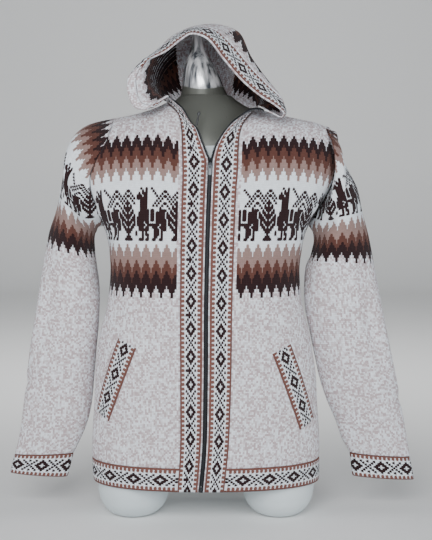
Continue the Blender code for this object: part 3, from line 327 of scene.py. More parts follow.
class Quarter:
    # A quarter of the body. Below the armpit a row is a height, above it a way up the cloth.

    def __init__(self, side, sign, start):
        self.side, self.sign, self.start = side, sign, start
        self.facing = -1 if side == "front" else 1
        self.seam = "left" if sign > 0 else "right"
        self.stations = np.arange(0, lattice["around"], lattice["station"])
        self.rows = np.arange(0, lattice["above"], lattice["row"])
        levels = np.linspace(armpit, ridgeLine[0][1], lattice["levels"])
        spread, ends = [], []
        for z in levels:
            x, way, y = self.around(z)
            line = np.stack([np.interp(self.stations, way, x), np.interp(self.stations, way, y)], 1)
            spread.append(line)
            ends.append(way[-1] if start(z) < reach(sign, z) else 0.0)
        spread, ends = np.array(spread), np.array(ends)
        self.table = np.zeros((len(self.stations), len(self.rows), 3))
        self.rises, self.ways = np.zeros(len(self.stations)), []
        for k, along in enumerate(self.stations):
            inside = np.nonzero(ends > along)[0]
            last = inside[-1] if len(inside) else 0
            points = np.column_stack([spread[: last + 1, k], levels[: last + 1]])
            if last + 1 < len(levels):  # up to the shoulder itself, between two levels
                share = (ends[last] - along) / max(ends[last] - ends[last + 1], 1e-9)
                share = min(max(share, 0.0), 1.0)
                tip = spread[last, k] * (1 - share) + spread[last + 1, k] * share
                height = levels[last] + (levels[last + 1] - levels[last]) * share
                points = np.vstack([points, [tip[0], 0.0, height]])
            way = lengths(points)
            self.rises[k] = way[-1]
            self.ways.append((way, points[:, 2]))
            self.table[k] = placesAlong(points, self.rows)

    def around(self, z):
        out = reach(self.sign, z)
        first = min(self.start(z), out * 0.999)
        turn = np.linspace(math.asin(first / out), math.pi / 2, lattice["turns"])
        x = out * np.sin(turn)
        y = depth(self.side, self.sign * x, z)
        return x, np.concatenate([[0], np.cumsum(np.hypot(np.diff(x), np.diff(y)))]), y

    def level(self, alongs, z):
        x, way, y = self.around(z)
        found = np.zeros((len(alongs), 3))
        found[:, 0] = self.sign * np.interp(alongs, way, x)
        found[:, 1] = self.facing * np.interp(alongs, way, y)
        found[:, 2] = z
        return found

    def high(self, alongs, climbed):
        # places above the armpit, at these ways round and up
        a = np.clip(np.asarray(alongs) / lattice["station"], 0, len(self.stations) - 1.001)
        b = np.clip(np.asarray(climbed) / lattice["row"], 0, len(self.rows) - 1.001)
        i, j = a.astype(int), b.astype(int)
        f, g = (a - i)[..., None], (b - j)[..., None]
        t = self.table
        found = (t[i, j] * (1 - f) * (1 - g) + t[i + 1, j] * f * (1 - g)
                 + t[i, j + 1] * (1 - f) * g + t[i + 1, j + 1] * f * g)
        return found * (self.sign, self.facing, 1)

    def rise(self, along):
        return np.interp(along, self.stations, self.rises)

    def climbed(self, along, z):
        at = along / lattice["station"]
        k = int(min(at, len(self.stations) - 2))
        share = at - k
        low, high = (np.interp(z, way[1], way[0]) for way in self.ways[k:k + 2])
        return low * (1 - share) + high * share

    def findArmhole(self):
        shares, alongs = [], []
        for z in np.linspace(armpit, ridgeLine[0][1], 120):
            out = float(fromTable(armholeLine, armholeColumns, self.seam, z))
            x, way, _y = self.around(z)
            if z > armpit and out >= x[-1]:
                break
            along = float(np.interp(out, x, way))
            alongs.append(along)
            shares.append(self.climbed(along, z) / self.rise(along))
        shares[-1] = 1.0
        self.shares, self.alongs = np.array(shares), np.array(alongs)

    def armholeAt(self, share):
        along = np.interp(share, self.shares, self.alongs) - cloth["seamGap"] / 2
        return self.high(along, (self.rise(along) - cloth["seamGap"]) * share)

    def end(self, climbed):
        # where a row meets the armhole
        along = np.interp(0.5, self.shares, self.alongs)
        for _ in range(12):
            share = min(climbed / float(self.rise(along)), 1.0)
            along = float(np.interp(share, self.shares, self.alongs))
        return along


def neckHeight(sign, x):
    out = neckPoints["left" if sign > 0 else "right"]
    share = np.clip(np.abs(x) / out, 0, 1)
    return cloth["backNeck"] + (ridge(out) - cloth["backNeck"]) * share**2


def quarterGrid(quarter, stitch, ways, neck=False, dip=None):
    # one cell to a stitch, cut off at the side seam, armhole and shoulder
    alongs = np.arange(int(lattice["widest"] / stitch) + 2) * stitch
    top = float(quarter.rises.max())
    rows = []
    for way in ways:
        if way <= armpit:
            end = quarter.around(way)[1][-1] - cloth["seamGap"] / 2
            rows.append(quarter.level(np.minimum(alongs, end), way))
            continue
        climbed = way - armpit
        at = np.minimum(alongs, quarter.end(climbed) - cloth["seamGap"] / 2)
        limit = quarter.rise(at) - cloth["seamGap"]
        if neck:
            for i, along in enumerate(at):
                x = abs(quarter.high(along, min(climbed, limit[i]))[0])
                if x < neckPoints[quarter.seam]:
                    cut = quarter.climbed(along, float(neckHeight(quarter.sign, x)))
                    limit[i] = min(limit[i], cut)
        places = np.full(len(at), climbed)
        if dip:
            places = places - dip(at, places)
        rows.append(quarter.high(at, np.minimum(places, limit)))
        if climbed > top:
            break
    return np.array(rows)


def linear(r, g, b):
    return tuple(((v / 255 + 0.055) / 1.055) ** 2.4 if v > 10 else v / 3294.6 for v in (r, g, b))


yarns = {
    "cream": linear(230, 233, 238),
    "white": linear(229, 233, 237),
    "rose": linear(168, 142, 142),
    "tan": linear(142, 117, 110),
    "brown": linear(89, 56, 48),
    "dark": linear(42, 25, 26),
    "edge": linear(112, 75, 67),
}
melangeMix = {"contrast": 1.9, "paleShare": 0.62, "most": 0.80, "dye": 0.06}
yarnOrder = ("melange", "white", "tan", "brown", "dark", "edge")
melange, white, tan, brown, dark, edge = range(6)

zigzagSteps = np.array([0, 2, 4, 7])  # rows down from a peak, over the three stitches to the next valley
zigzagPitch = 6
# Rows down from the first dark peak at which each colour begins, at a peak.
bandStarts = (
    (0, dark), (6, brown), (13, tan), (20, white), (55, tan), (64, brown), (70, dark), (78, melange),
)
# Rows are taller where two yarns float behind the figures: row, and its way down the cloth.
bandKnots = (-100, 0, 31, 53, 86, 400)
bandPlaces = (-0.300, 0.0, 0.0989, 0.1935, 0.2975, 1.2395)
figureRow = 31

llamaChart = (
    "..#..#............",
    "...#.#............",
    ".#.###............",
    "###.##............",
    "######............",
    "..####............",
    "..####............",
    "..####............",
    "..####............",
    "..#####.##...####.",
    ".######.##.#####.#",
    ".######.##.#####.#",
    "#######.##.#####.#",
    "#######.##.######.",
    "####.##....######.",
    "#####.#######.###.",
    ".###.##..###.####.",
    ".######...###.###.",
    "...#.#....###.#...",
    "...#.##...###.#...",
    "...#..#...##..#...",
    ".###.##..##..##...",
)
treeChart = (
    "....#....",
    "...###...",
    "..#.#.#..",
    "..#####..",
    ".#.###.#.",
    ".##.#.##.",
    "#.#####.#",
    "##.###.##",
    "###.#.###",
    "#.#####.#",
    "##.###.##",
    ".##.#.##.",
    "..#####..",
    "...###...",
    "....#....",
    "...###...",
    "..#####..",
)
strip = {"stitches": 15, "motifFirst": 4, "repeat": 12, "barRow": 6, "bar": (7, 10), "teeth": (1, 2, 12, 13)}
figure = {"width": 28, "tall": 22, "treeTop": 5, "treeFirst": 18}
hills = {"peak": 15.5, "pitch": 7, "lowest": 8, "first": 9, "strands": 2}
stripMotif = (
    "##...##",
    ".##.##.",
    "..###..",
    "#..#..#",
    ".#...#.",
    "..#.#..",
    "#..#..#",
    "..#.#..",
    ".#...#.",
    "#..#..#",
    "..###..",
    ".##.##.",
)


def figureBand():
    # one repeat: a llama, a tree, and the hills behind them
    chart = np.zeros((figure["tall"], figure["width"]), bool)
    for lines, top, first in ((llamaChart, 0, 0), (treeChart, figure["treeTop"], figure["treeFirst"])):
        for row, line in enumerate(lines):
            for k, mark in enumerate(line):
                chart[top + row, first + k] |= mark == "#"
    half = hills["pitch"] / 2
    for k in range(hills["first"], figure["width"] - 1):
        off = k - hills["peak"]
        hill = int(0.5 + abs(off)) if off < half else int(0.5 + abs((off + half) % hills["pitch"] - half))
        for row in (hill, hill + hills["strands"]):
            if row < hills["lowest"]:
                chart[row, k] = True
    for k in range(13, 19):  # a third strand under the first hill
        chart[5 + int(0.5 + abs(k - hills["peak"])), k] = True
    for k in range(4):  # the first hill's near side, beside the llama's ear
        chart[k, 8 + k] = True
    chart[18:20, figure["width"] - 1] = True  # a short mark before the next llama's front leg
    return chart


figures = figureBand()


def zigzagTones(starts, down, columns):
    # bands with zigzag edges, a peak at every sixth stitch
    half = zigzagPitch // 2
    step = zigzagSteps[np.abs((columns + half) % zigzagPitch - half)]
    tones = np.zeros(np.broadcast(columns, down).shape, int)
    for start, tone in starts:
        tones = np.where(down >= start + step, tone, tones)
    return tones


def bodyTones(columns, down, figureColumns):
    # yarn of each stitch, from its column and its rows down from the first peak
    tones = zigzagTones(bandStarts, down, columns)
    row = down - figureRow
    inside = (row >= 0) & (row < len(figures))
    drawn = figures[np.clip(row, 0, len(figures) - 1), figureColumns % figure["width"]] & inside
    return np.where(drawn, dark, tones)


def stripTones(across, along, bars):
    # yarn of each stitch of an edging, from its stitch across and its row along
    motif = np.array([[mark == "#" for mark in line] for line in stripMotif])
    middle = across - strip["motifFirst"]
    inside = (middle >= 0) & (middle < motif.shape[1])
    drawn = motif[along % strip["repeat"], np.clip(middle, 0, motif.shape[1] - 1)] & inside
    if bars:  # every second diamond of this side has a bar across it
        first, last = strip["bar"]
        drawn |= (along % (2 * strip["repeat"]) == strip["barRow"]) & (across >= first) & (across <= last)
    tones = np.where(drawn, dark, white)
    tones = np.where(np.isin(across, strip["teeth"]) & (along % 2 == 0), edge, tones)
    return np.where((across == 0) | (across == strip["stitches"] - 1), edge, tones)


def yarnColours(tones):
    # the melange is two yarns twisted at random
    table = np.array([yarns["cream"]] + [yarns[name] for name in yarnOrder[1:]])
    found = table[tones]
    rose, cream = np.array(yarns["rose"]), np.array(yarns["cream"])
    twist = np.clip(melangeMix["contrast"] * random.random(tones.shape) - melangeMix["paleShare"], 0, 1)
    twisted = cream + (rose - cream) * (melangeMix["most"] * twist)[..., None]
    found = np.where((tones == melange)[..., None], twisted, found)
    return found * (1 - melangeMix["dye"] + 2 * melangeMix["dye"] * random.random(tones.shape)[..., None])


def newMaterial(name, roughness, metallic=0.0, colour=(0.5, 0.5, 0.5)):
    made = bpy.data.materials.new(name)
    made.use_nodes = True
    shader = made.node_tree.nodes["Principled BSDF"]
    shader.inputs["Roughness"].default_value = roughness
    shader.inputs["Metallic"].default_value = metallic
    shader.inputs["Base Color"].default_value = (*colour, 1)
    return made, made.node_tree, shader


def addNode(tree, kind, **values):
    made = tree.nodes.new(kind)
    for name, value in values.items():
        if name in made.inputs:
            made.inputs[name].default_value = value
        else:
            setattr(made, name, value)
    return made


def maths(tree, operation, first, second=None, third=None, clamp=False):
    made = tree.nodes.new("ShaderNodeMath")
    made.operation = operation
    made.use_clamp = clamp
    for socket, value in zip(made.inputs, (first, second, third)):
        if value is None:
            continue
        if isinstance(value, (int, float)):
            socket.default_value = value
        else:
            tree.links.new(value, socket)
    return made.outputs[0]


def mixColours(tree, kind, amount, first, second):
    made = tree.nodes.new("ShaderNodeMix")
    made.data_type = "RGBA"
    made.blend_type = kind
    for socket, value in ((made.inputs[0], amount), (made.inputs[6], first), (made.inputs[7], second)):
        if isinstance(value, (int, float)):
            socket.default_value = value
        elif isinstance(value, tuple):
            socket.default_value = (*value, 1)
        else:
            tree.links.new(value, socket)
    return made.outputs[2]


def objectPlace(tree):
    return addNode(tree, "ShaderNodeTexCoord").outputs["Object"]


def separate(tree, place):
    made = addNode(tree, "ShaderNodeSeparateXYZ")
    tree.links.new(place, made.inputs[0])
    return made.outputs


def addNoise(tree, place, scale, detail, roughness):
    made = addNode(tree, "ShaderNodeTexNoise", Detail=detail, Roughness=roughness)
    tree.links.new(place, made.inputs["Vector"])
    if isinstance(scale, float):
        made.inputs["Scale"].default_value = scale
    else:
        tree.links.new(scale, made.inputs["Scale"])
    return made.outputs["Fac"]


def addBump(tree, shader, height, strength, distance):
    made = addNode(tree, "ShaderNodeBump", Strength=strength, Distance=distance)
    tree.links.new(height, made.inputs["Height"])
    tree.links.new(made.outputs["Normal"], shader.inputs["Normal"])


def newGroup(name, inputs, outputs):
    group = bpy.data.node_groups.new(name, "ShaderNodeTree")
    for way, sockets in (("INPUT", inputs), ("OUTPUT", outputs)):
        for socket, kind in sockets.items():
            group.interface.new_socket(socket, in_out=way, socket_type="NodeSocket" + kind)
    return group, addNode(group, "NodeGroupInput").outputs, addNode(group, "NodeGroupOutput").inputs


def useGroup(tree, group, **values):
    made = tree.nodes.new("ShaderNodeGroup")
    made.node_tree = group
    for name, value in values.items():
        if isinstance(value, (float, tuple)):
            made.inputs[name].default_value = value
        else:
            tree.links.new(value, made.inputs[name])
    return made.outputs


def tinted(tree, colour, shade):
    tint = addNode(tree, "ShaderNodeCombineColor")
    for socket in tint.inputs:
        tree.links.new(shade, socket)
    return mixColours(tree, "MULTIPLY", 1.0, colour, tint.outputs[0])


stitchLook = {
    "slant": -0.45,  # how far a stitch's arms drop from its sides to its middle
    "sharp": 14.0,  # how sharply one yarn gives way to the next
    "lowCover": 4.8,
    "leftCover": 4.4,
    "rightCover": -9.6,
    "sideRound": 0.6,
    "archRound": 0.5,
    "fuzzHeight": 0.35,
    "fuzzShade": 0.36,
    "heightShade": 0.22,
    "lowShade": 0.62,
}


def stitchGroup():
    # one knit stitch in each cell, with the arms of the stitch below at its sides
    colours = {name: "Color" for name in ("Yarn", "Below", "Left", "Right")}
    group, into, out = newGroup(
        "knitStitch", {**colours, "Place": "Vector", "Fuzz": "Float"}, {"Colour": "Color", "Height": "Float"}
    )
    across, up, _flat = separate(group, into["Place"])
    side = maths(group, "ABSOLUTE", maths(group, "MULTIPLY_ADD", across, 2.0, -1.0))
    above = maths(group, "MULTIPLY_ADD", side, stitchLook["slant"], up)
    sharp = stitchLook["sharp"]
    own = maths(group, "MULTIPLY_ADD", above, sharp, 0.5, clamp=True)
    colour = mixColours(group, "MIX", own, into["Below"], into["Yarn"])
    # darker yarn stands proud and covers the edges of the stitches round it
    covers = (
        ("Below", above, -sharp, stitchLook["lowCover"]),
        ("Left", across, -sharp, stitchLook["leftCover"]),
        ("Right", across, sharp, stitchLook["rightCover"]),
    )
    for name, way, slope, start in covers:
        near = maths(group, "MULTIPLY_ADD", way, slope, start, clamp=True)
        darker = mixColours(group, "DARKEN", 1.0, colour, into[name])
        colour = mixColours(group, "MIX", near, colour, darker)
    phase = maths(group, "FRACT", maths(group, "ADD", above, 1.0))
    rounded = []
    for value, power in ((side, stitchLook["sideRound"]), (phase, stitchLook["archRound"])):
        arch = maths(group, "SINE", maths(group, "MULTIPLY", value, math.pi))
        rounded.append(maths(group, "POWER", maths(group, "MAXIMUM", arch, 0.0), power))
    smooth = maths(group, "MULTIPLY", *rounded)
    height = maths(group, "MULTIPLY_ADD", into["Fuzz"], stitchLook["fuzzHeight"], smooth)
    # painted shade: the colour darkens where the stitch lies low between the yarns; the fuzz adds an uneven
    # tone
    lit = maths(group, "MULTIPLY_ADD", height, stitchLook["heightShade"], stitchLook["lowShade"])
    shade = maths(group, "MULTIPLY_ADD", into["Fuzz"], stitchLook["fuzzShade"], lit)
    group.links.new(tinted(group, colour, shade), out["Colour"])
    group.links.new(height, out["Height"])
    return group


stitches = stitchGroup()
woolFinish = {
    "roughness": 0.92, "sheen": 0.06, "sheenSpread": 0.5, "specular": 0.12, "fuzz": 1400.0, "relief": 0.0012,
}


def knitMaterial(name, strength):
    made, tree, shader = newMaterial(name, woolFinish["roughness"])
    colours = {}
    for side in ("", "Below", "Left", "Right"):
        shown = addNode(tree, "ShaderNodeAttribute", attribute_name="yarn" + side)
        colours[side or "Yarn"] = shown.outputs["Color"]
    place = addNode(tree, "ShaderNodeUVMap", uv_map="stitch")
    fuzz = addNoise(tree, objectPlace(tree), woolFinish["fuzz"], 3.0, 0.65)
    knit = useGroup(tree, stitches, **colours, Place=place.outputs["UV"], Fuzz=fuzz)
    tree.links.new(knit["Colour"], shader.inputs["Base Color"])
    addBump(tree, shader, knit["Height"], strength, woolFinish["relief"])
    shader.inputs["Sheen Weight"].default_value = woolFinish["sheen"]
    shader.inputs["Sheen Roughness"].default_value = woolFinish["sheenSpread"]
    shader.inputs["Specular IOR Level"].default_value = woolFinish["specular"]
    return made


knitOutside = knitMaterial("alpacaKnit", 0.55)
knitInside = knitMaterial("alpacaKnitInside", 0.4)


def newPiece(name, points, faces, finishes):
    mesh = bpy.data.meshes.new(name)
    mesh.from_pydata((points + shift).tolist(), [], faces)
    for finish in finishes:
        mesh.materials.append(finish)
    mesh.shade_smooth()
    made = bpy.data.objects.new(name, mesh)
    bpy.context.collection.objects.link(made)
    return made


def faceOutwards(mesh):
    shell = bmesh.new()
    shell.from_mesh(mesh)
    bmesh.ops.recalc_face_normals(shell, faces=shell.faces)
    shell.to_mesh(mesh)
    shell.free()


def standFor(made, slot, *nodes):
    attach(made, wearer)
    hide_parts(*nodes)


def besideColours(tones, shown):
    # colours of the stitches to the left and right, left alone where both are melange
    columns = np.arange(tones.shape[1])
    found = []
    for pick in (np.maximum(columns - 1, 0), np.minimum(columns + 1, len(columns) - 1)):
        plain = ((tones == melange) & (tones[:, pick] == melange))[..., None]
        found.append(np.where(plain, shown, shown[:, pick]))
    return found


def stitchFaces(back, flip):
    # a face for each cell of the lattice, with its corners' places in the stitch
    cell = np.stack([back[:-1, :-1], back[:-1, 1:], back[1:, 1:], back[1:, :-1]], axis=-1).reshape(-1, 4)
    corners = np.array([(0.0, 0.0), (1.0, 0.0), (1.0, 1.0), (0.0, 1.0)])
    same = np.stack([cell[:, k] == cell[:, (k + 1) % 4] for k in range(4)], axis=1)
    crossed = (cell[:, 0] == cell[:, 2]) | (cell[:, 1] == cell[:, 3])
    picks = np.nonzero((same.sum(axis=1) <= 1) & ~crossed)[0]
    faces, uvs = [], []
    for k in picks:
        keep = [i for i in range(4) if not same[k, i]]
        if flip:
            keep = keep[::-1]
        faces.append([int(cell[k, i]) for i in keep])
        uvs.append(corners[keep])
    return faces, uvs, picks


def areaNormals(verts, faces):
    normals = np.zeros_like(verts)
    for size in (3, 4):
        chosen = np.array([f for f in faces if len(f) == size], int).reshape(-1, size)
        if not len(chosen):
            continue
        a, b, c, d = (verts[chosen[:, k]] for k in ((0, 2, 1, 3) if size == 4 else (0, 1, 0, 2)))
        facing = np.cross(b - a, d - c)
        for i in range(size):
            np.add.at(normals, chosen[:, i], facing)
    return normals / np.maximum(np.linalg.norm(normals, axis=1, keepdims=True), 1e-12)


def openEdges(faces):
    edges = {}
    for f, face in enumerate(faces):
        for a, b in zip(face, face[1:] + face[:1]):
            key = (a, b) if a < b else (b, a)
            edges[key] = (a, b, f) if key not in edges else None
    return edges, [found for found in edges.values() if found]


def seamTuck(count, edges, rims):
    # the cloth turns in at its seams
    onRim, beside = np.zeros(count, bool), np.zeros(count, bool)
    for a, b, _f in rims:
        onRim[[a, b]] = True
    for key in edges:
        if onRim[key[0]] != onRim[key[1]]:
            beside[list(key)] = True
    return np.where(onRim, cloth["seamTuck"], np.where(beside, cloth["seamTuck"] * cloth["tuckBeside"], 0))


def knitPiece(name, grid, tones, insideTones, flip=False, creases=None):
    # a thin closed shell with one face to each stitch; rows of the grid go up the knitting
    rows, columns = tones.shape
    points = grid.reshape(-1, 3)
    _keys, first, back = np.unique(np.round(points, 6), axis=0, return_index=True, return_inverse=True)
    verts = points[first]
    faces, uvs, picks = stitchFaces(back.reshape(rows + 1, columns + 1), flip)
    normals = areaNormals(verts, faces)
    edges, rims = openEdges(faces)
    lift = np.zeros(len(verts))
    if creases is not None:
        lift += creases.reshape(-1)[first]
    lift -= seamTuck(len(verts), edges, rims)
    outer = verts + normals * lift[:, None]
    inner = outer - normals * cloth["thickness"]
    count = len(verts)
    rim = [[b, a, a + count, b + count] for a, b, _f in rims]
    allFaces = faces + [[i + count for i in face[::-1]] for face in faces] + rim
    allUvs = uvs + [uv[::-1] for uv in uvs] + [np.full((4, 2), 0.5)] * len(rim)
    made = newPiece(name, np.concatenate([outer, inner]), allFaces, (knitOutside, knitInside))
    own, inside = yarnColours(tones), yarnColours(insideTones)
    layers = {"yarn": [], "yarnBelow": [], "yarnLeft": [], "yarnRight": []}
    for kinds, shown in ((tones, own), (insideTones, inside)):
        below = np.concatenate([shown[:1], shown[:-1]])
        for values, colours in zip(layers.values(), (shown, below, *besideColours(kinds, shown))):
            values.append(colours.reshape(-1, 3)[picks])
    rimColours = own.reshape(-1, 3)[picks[[f for _a, _b, f in rims]]]
    for attribute, values in layers.items():
        values = np.concatenate([*values, rimColours])
        layer = made.data.attributes.new(attribute, "FLOAT_COLOR", "FACE")
        layer.data.foreach_set("color", np.column_stack([values, np.ones(len(values))]).ravel())
    layer = made.data.uv_layers.new(name="stitch")
    layer.data.foreach_set("uv", np.concatenate(allUvs).ravel())
    slots = np.zeros(len(allFaces), int)
    slots[len(faces):2 * len(faces)] = 1
    made.data.polygons.foreach_set("material_index", slots)
    print("knitted", name, len(allFaces), "faces", flush=True)
    return made


def wornPiece(made, node):
    standFor(made, "knit", node)


def reverseTones(tones):
    # the inside of colourwork, where the row's other yarns show as small marks
    rows, columns = np.indices(tones.shape)
    return np.where((rows + columns) % 3 == 0, np.roll(tones, 8, axis=0), tones)


def foldField(u, v, folds):
    # soft ridges and troughs, each with two ends, a width and a height
    lift = np.zeros(np.broadcast(u, v).shape)
    for (u0, v0), (u1, v1), width, height in folds:
        du, dv = u1 - u0, v1 - v0
        length = math.hypot(du, dv)
        t = ((u - u0) * du + (v - v0) * dv) / length**2
        off = ((u - u0) * dv - (v - v0) * du) / length
        off = off + 0.25 * width * np.sin(4.0 * t + 20 * u0)
        taper = np.clip(1 - np.abs(t - 0.5) * 2, 0, 1)
        taper = taper * taper * (3 - 2 * taper)
        uneven = 0.8 + 0.2 * np.sin(9 * t + 31 * v0)
        lift = lift + height * uneven * np.exp(-((off / width) ** 2)) * taper ** 0.7
    return lift


body = {
    "stitch": 0.0032,
    "bandTop": 0.7062,
    "dip": 0.010,  # how far the rows sag beside the edging
    "dipFrom": 0.01,  # above the armpit
    "dipOver": 0.12,
    "dipReach": 0.032,
    "chartStart": {"right": 24, "left": 4},  # stitch of the figures beside each edging
    "backChart": 7,
    "frontFlat": (0.245, 0.640),
    "frontArea": 0.136,
    "backFlat": (0.53, 0.665),
    "backArea": 0.325,
}
panels = {}
for sign, seam in ((1, "left"), (-1, "right")):
    panels["front", seam] = Quarter("front", sign, lambda z, sign=sign: bandOut(sign, z))
    panels["back", seam] = Quarter("back", sign, lambda z: 0.0)
for quarter in panels.values():
    quarter.findArmhole()
print("body panels measured", flush=True)


def frontDip(along, climbed):
    share = np.clip((climbed - body["dipFrom"]) / body["dipOver"], 0, 1)
    return body["dip"] * np.exp(-((along / body["dipReach"]) ** 2)) * share


# Folds as (along, height) ends in metres, a width and a height.
frontFolds = {
    "right": (
        ((0.02, 0.40), (0.15, 0.36), 0.016, -0.0022),
        ((0.05, 0.355), (0.155, 0.345), 0.012, 0.0020),
        ((0.03, 0.245), (0.10, 0.215), 0.010, 0.0022),
        ((0.02, 0.225), (0.09, 0.180), 0.012, -0.0018),
        ((0.10, 0.56), (0.185, 0.50), 0.012, -0.0040),
        ((0.09, 0.53), (0.18, 0.47), 0.011, 0.0028),
        ((0.13, 0.62), (0.185, 0.55), 0.010, 0.0030),
        ((0.07, 0.15), (0.16, 0.20), 0.020, -0.0020),
        ((0.01, 0.62), (0.03, 0.42), 0.010, 0.0012),
        ((0.12, 0.14), (0.17, 0.30), 0.020, 0.0022),
    ),
    "left": (
        ((0.02, 0.38), (0.14, 0.35), 0.016, -0.0020),
        ((0.05, 0.340), (0.155, 0.330), 0.012, 0.0018),
        ((0.03, 0.235), (0.11, 0.225), 0.010, 0.0018),
        ((0.10, 0.57), (0.19, 0.51), 0.012, -0.0040),
        ((0.09, 0.54), (0.185, 0.48), 0.011, 0.0028),
        ((0.13, 0.63), (0.195, 0.56), 0.010, 0.0032),
        ((0.05, 0.14), (0.15, 0.19), 0.020, -0.0018),
        ((0.12, 0.15), (0.17, 0.29), 0.018, 0.0022),
    ),
}
backFolds = (
    ((-0.16, 0.34), (0.14, 0.37), 0.018, -0.0030),
    ((-0.13, 0.30), (0.17, 0.31), 0.014, 0.0026),
    ((-0.05, 0.42), (0.18, 0.40), 0.015, -0.0022),
    ((-0.18, 0.45), (-0.02, 0.41), 0.013, 0.0020),
    ((0.12, 0.66), (0.19, 0.54), 0.013, 0.0032),
    ((-0.12, 0.66), (-0.19, 0.54), 0.013, 0.0032),
    ((0.09, 0.60), (0.18, 0.49), 0.012, -0.0030),
    ((-0.09, 0.60), (-0.18, 0.49), 0.012, -0.0030),
    ((-0.03, 0.24), (0.05, 0.12), 0.024, 0.0022),
    ((0.09, 0.26), (0.13, 0.12), 0.020, -0.0022),
    ((-0.12, 0.27), (-0.09, 0.13), 0.020, 0.0022),
)


def bandWay(down):
    return np.interp(down, bandKnots, bandPlaces)


def bodyRows():
    # the way up to each row's edge, and which row of the bands lies below that edge
    low = hemTop + cloth["seamGap"]
    downs = np.arange(250, -90, -1)
    ways = body["bandTop"] - bandWay(downs)
    kept = ways > low + 0.0012
    return np.concatenate([[low], ways[kept]]), downs[kept]


def frontPiece(sign, seam):
    ways, down = bodyRows()
    grid = quarterGrid(panels["front", seam], body["stitch"], ways, dip=frontDip)
    rows, columns = grid.shape[0] - 1, grid.shape[1] - 1
    ways, down = ways[:rows + 1], down[:rows]
    across = np.arange(columns)[None, :]
    start = body["chartStart"][seam]
    figureColumns = start - across if sign < 0 else across + start
    tones = bodyTones(across - 1, down[:, None], figureColumns)
    tones = np.where(across < 2, melange, tones)
    u, v = np.meshgrid(np.arange(columns + 1) * body["stitch"], ways)
    creases = foldField(u, v, frontFolds[seam])
    made = knitPiece("frontKnit" + seam.title(), grid, tones, reverseTones(tones), sign < 0, creases)
    wornPiece(made, "front_" + seam)


def backPiece():
    ways, down = bodyRows()
    halves = {}
    for seam in ("right", "left"):
        halves[seam] = quarterGrid(panels["back", seam], body["stitch"], ways, neck=True)
    tallest = max(len(half) for half in halves.values())
    for seam, half in halves.items():
        halves[seam] = np.concatenate([half, np.repeat(half[-1:], tallest - len(half), axis=0)])
    grid = np.concatenate([halves["right"][:, :0:-1], halves["left"]], axis=1)
    rows, columns = grid.shape[0] - 1, grid.shape[1] - 1
    ways, down = ways[:rows + 1], down[:rows]
    across = (np.arange(columns) - columns // 2)[None, :]
    tones = bodyTones(across - 1, down[:, None], across + body["backChart"])
    u, v = np.meshgrid((np.arange(columns + 1) - columns // 2) * body["stitch"], ways)
    made = knitPiece("backKnit", grid, tones, reverseTones(tones), True, foldField(u, v, backFolds))
    wornPiece(made, "back")


for sign, seam in ((1, "left"), (-1, "right")):
    frontPiece(sign, seam)
backPiece()


edging = {
    "row": 0.00408,
    "fold": 0.08,  # share of the width that is the plain folded edge
    "diamond": {"right": 0.4543, "left": 0.4500},  # height of one diamond on each front
    "frontFlat": (0.046, 0.735),
    "hemFlat": (0.222, 0.043),
    "hemBackFlat": (0.52, 0.043),
    "cuffFlat": (0.245, 0.043),
}


def zipEdge(sign, z, top):
    if z <= neckLeft[0][2]:
        x = float(zipX(z)) + sign * cloth["zipGap"]
        return np.array([x, -float(depth("front", x, z)), z])
    table = neckLeft if sign > 0 else neckRight
    outs = column(table, neckColumns, "outZ")
    outs = outs[0] + (outs - outs[0]) * (top - outs[0]) / (outs[-1] - outs[0])
    row = np.interp(z, outs, np.arange(len(outs)))
    knots = np.arange(len(table), dtype=float)
    x, y, height = (
        float(smoothBetween(row, knots, column(table, neckColumns, name)))
        for name in ("inX", "inY", "inZ")
    )
    return np.array([sign * x, y, height])


def frontSeam(quarter):
    # places up the front's inner edge, and the places beside them
    top = armpit + float(quarter.rise(0.0)) - cloth["seamGap"]
    count = int((top - cloth["hemBottom"]) / edging["row"]) + 1
    ways = [cloth["hemBottom"] + edging["row"] * k for k in range(count)] + [top]
    alongs = np.array([0.00015, 0.004])
    pairs = []
    for way in ways:
        low = way <= armpit
        pairs.append(quarter.level(alongs, way) if low else quarter.high(alongs, np.full(2, way - armpit)))
    pairs = np.array(pairs)
    return pairs[:, 0], pairs[:, 1]


def bandGrid(sign, quarter):
    edges, besides = frontSeam(quarter)
    top = edges[-1, 2]
    rows = []
    for seam, beside, up in zip(edges, besides, np.gradient(edges, axis=0)):
        outward = np.cross(beside - seam, up) * sign
        outward /= np.linalg.norm(outward)
        at = zipEdge(sign, seam[2], top)
        rolled = min(1.0, max(0.0, (seam[2] - cloth["sliderHeight"]) / cloth["bandRoll"]))
        full = seam + (seam - beside) * cloth["seamGap"] / np.linalg.norm(seam - beside)
        lift = (outward * 0.5 + (-sign * 0.3, -0.6, 0)) * cloth["bandBulge"] * rolled
        row = []
        for share in edgingShares():
            point = at * (1 - share) + full * share
            if rolled == 0:
                point[1] = -float(depth("front", point[0], point[2]))
            row.append(point + 4 * share * (1 - share) * lift)
        rows.append(row)
    return np.array(rows)


def edgingShares():
    # shares across an edging: the plain fold, then the stitches
    return np.concatenate([[0], np.linspace(edging["fold"], 1, strip["stitches"] + 1)])


def edgingTones(rows, start, bars=False, fold=True):
    along = (np.arange(rows) + start)[:, None]
    tones = stripTones(np.arange(strip["stitches"])[None, :], along, bars)
    if fold:
        tones = np.concatenate([np.full((rows, 1), melange), tones], axis=1)
    return tones


bands = {}
for sign, seam in ((1, "left"), (-1, "right")):
    grid = bandGrid(sign, panels["front", seam])
    below = int(round((edging["diamond"][seam] - cloth["hemBottom"]) / edging["row"]))
    start = -below % (2 * strip["repeat"])
    tones = edgingTones(len(grid) - 1, start, bars=sign < 0)
    made = knitPiece("frontEdging" + seam.title(), grid, tones, np.full(tones.shape, melange), sign < 0)
    wornPiece(made, "front_band_" + seam)
    bands[seam] = grid


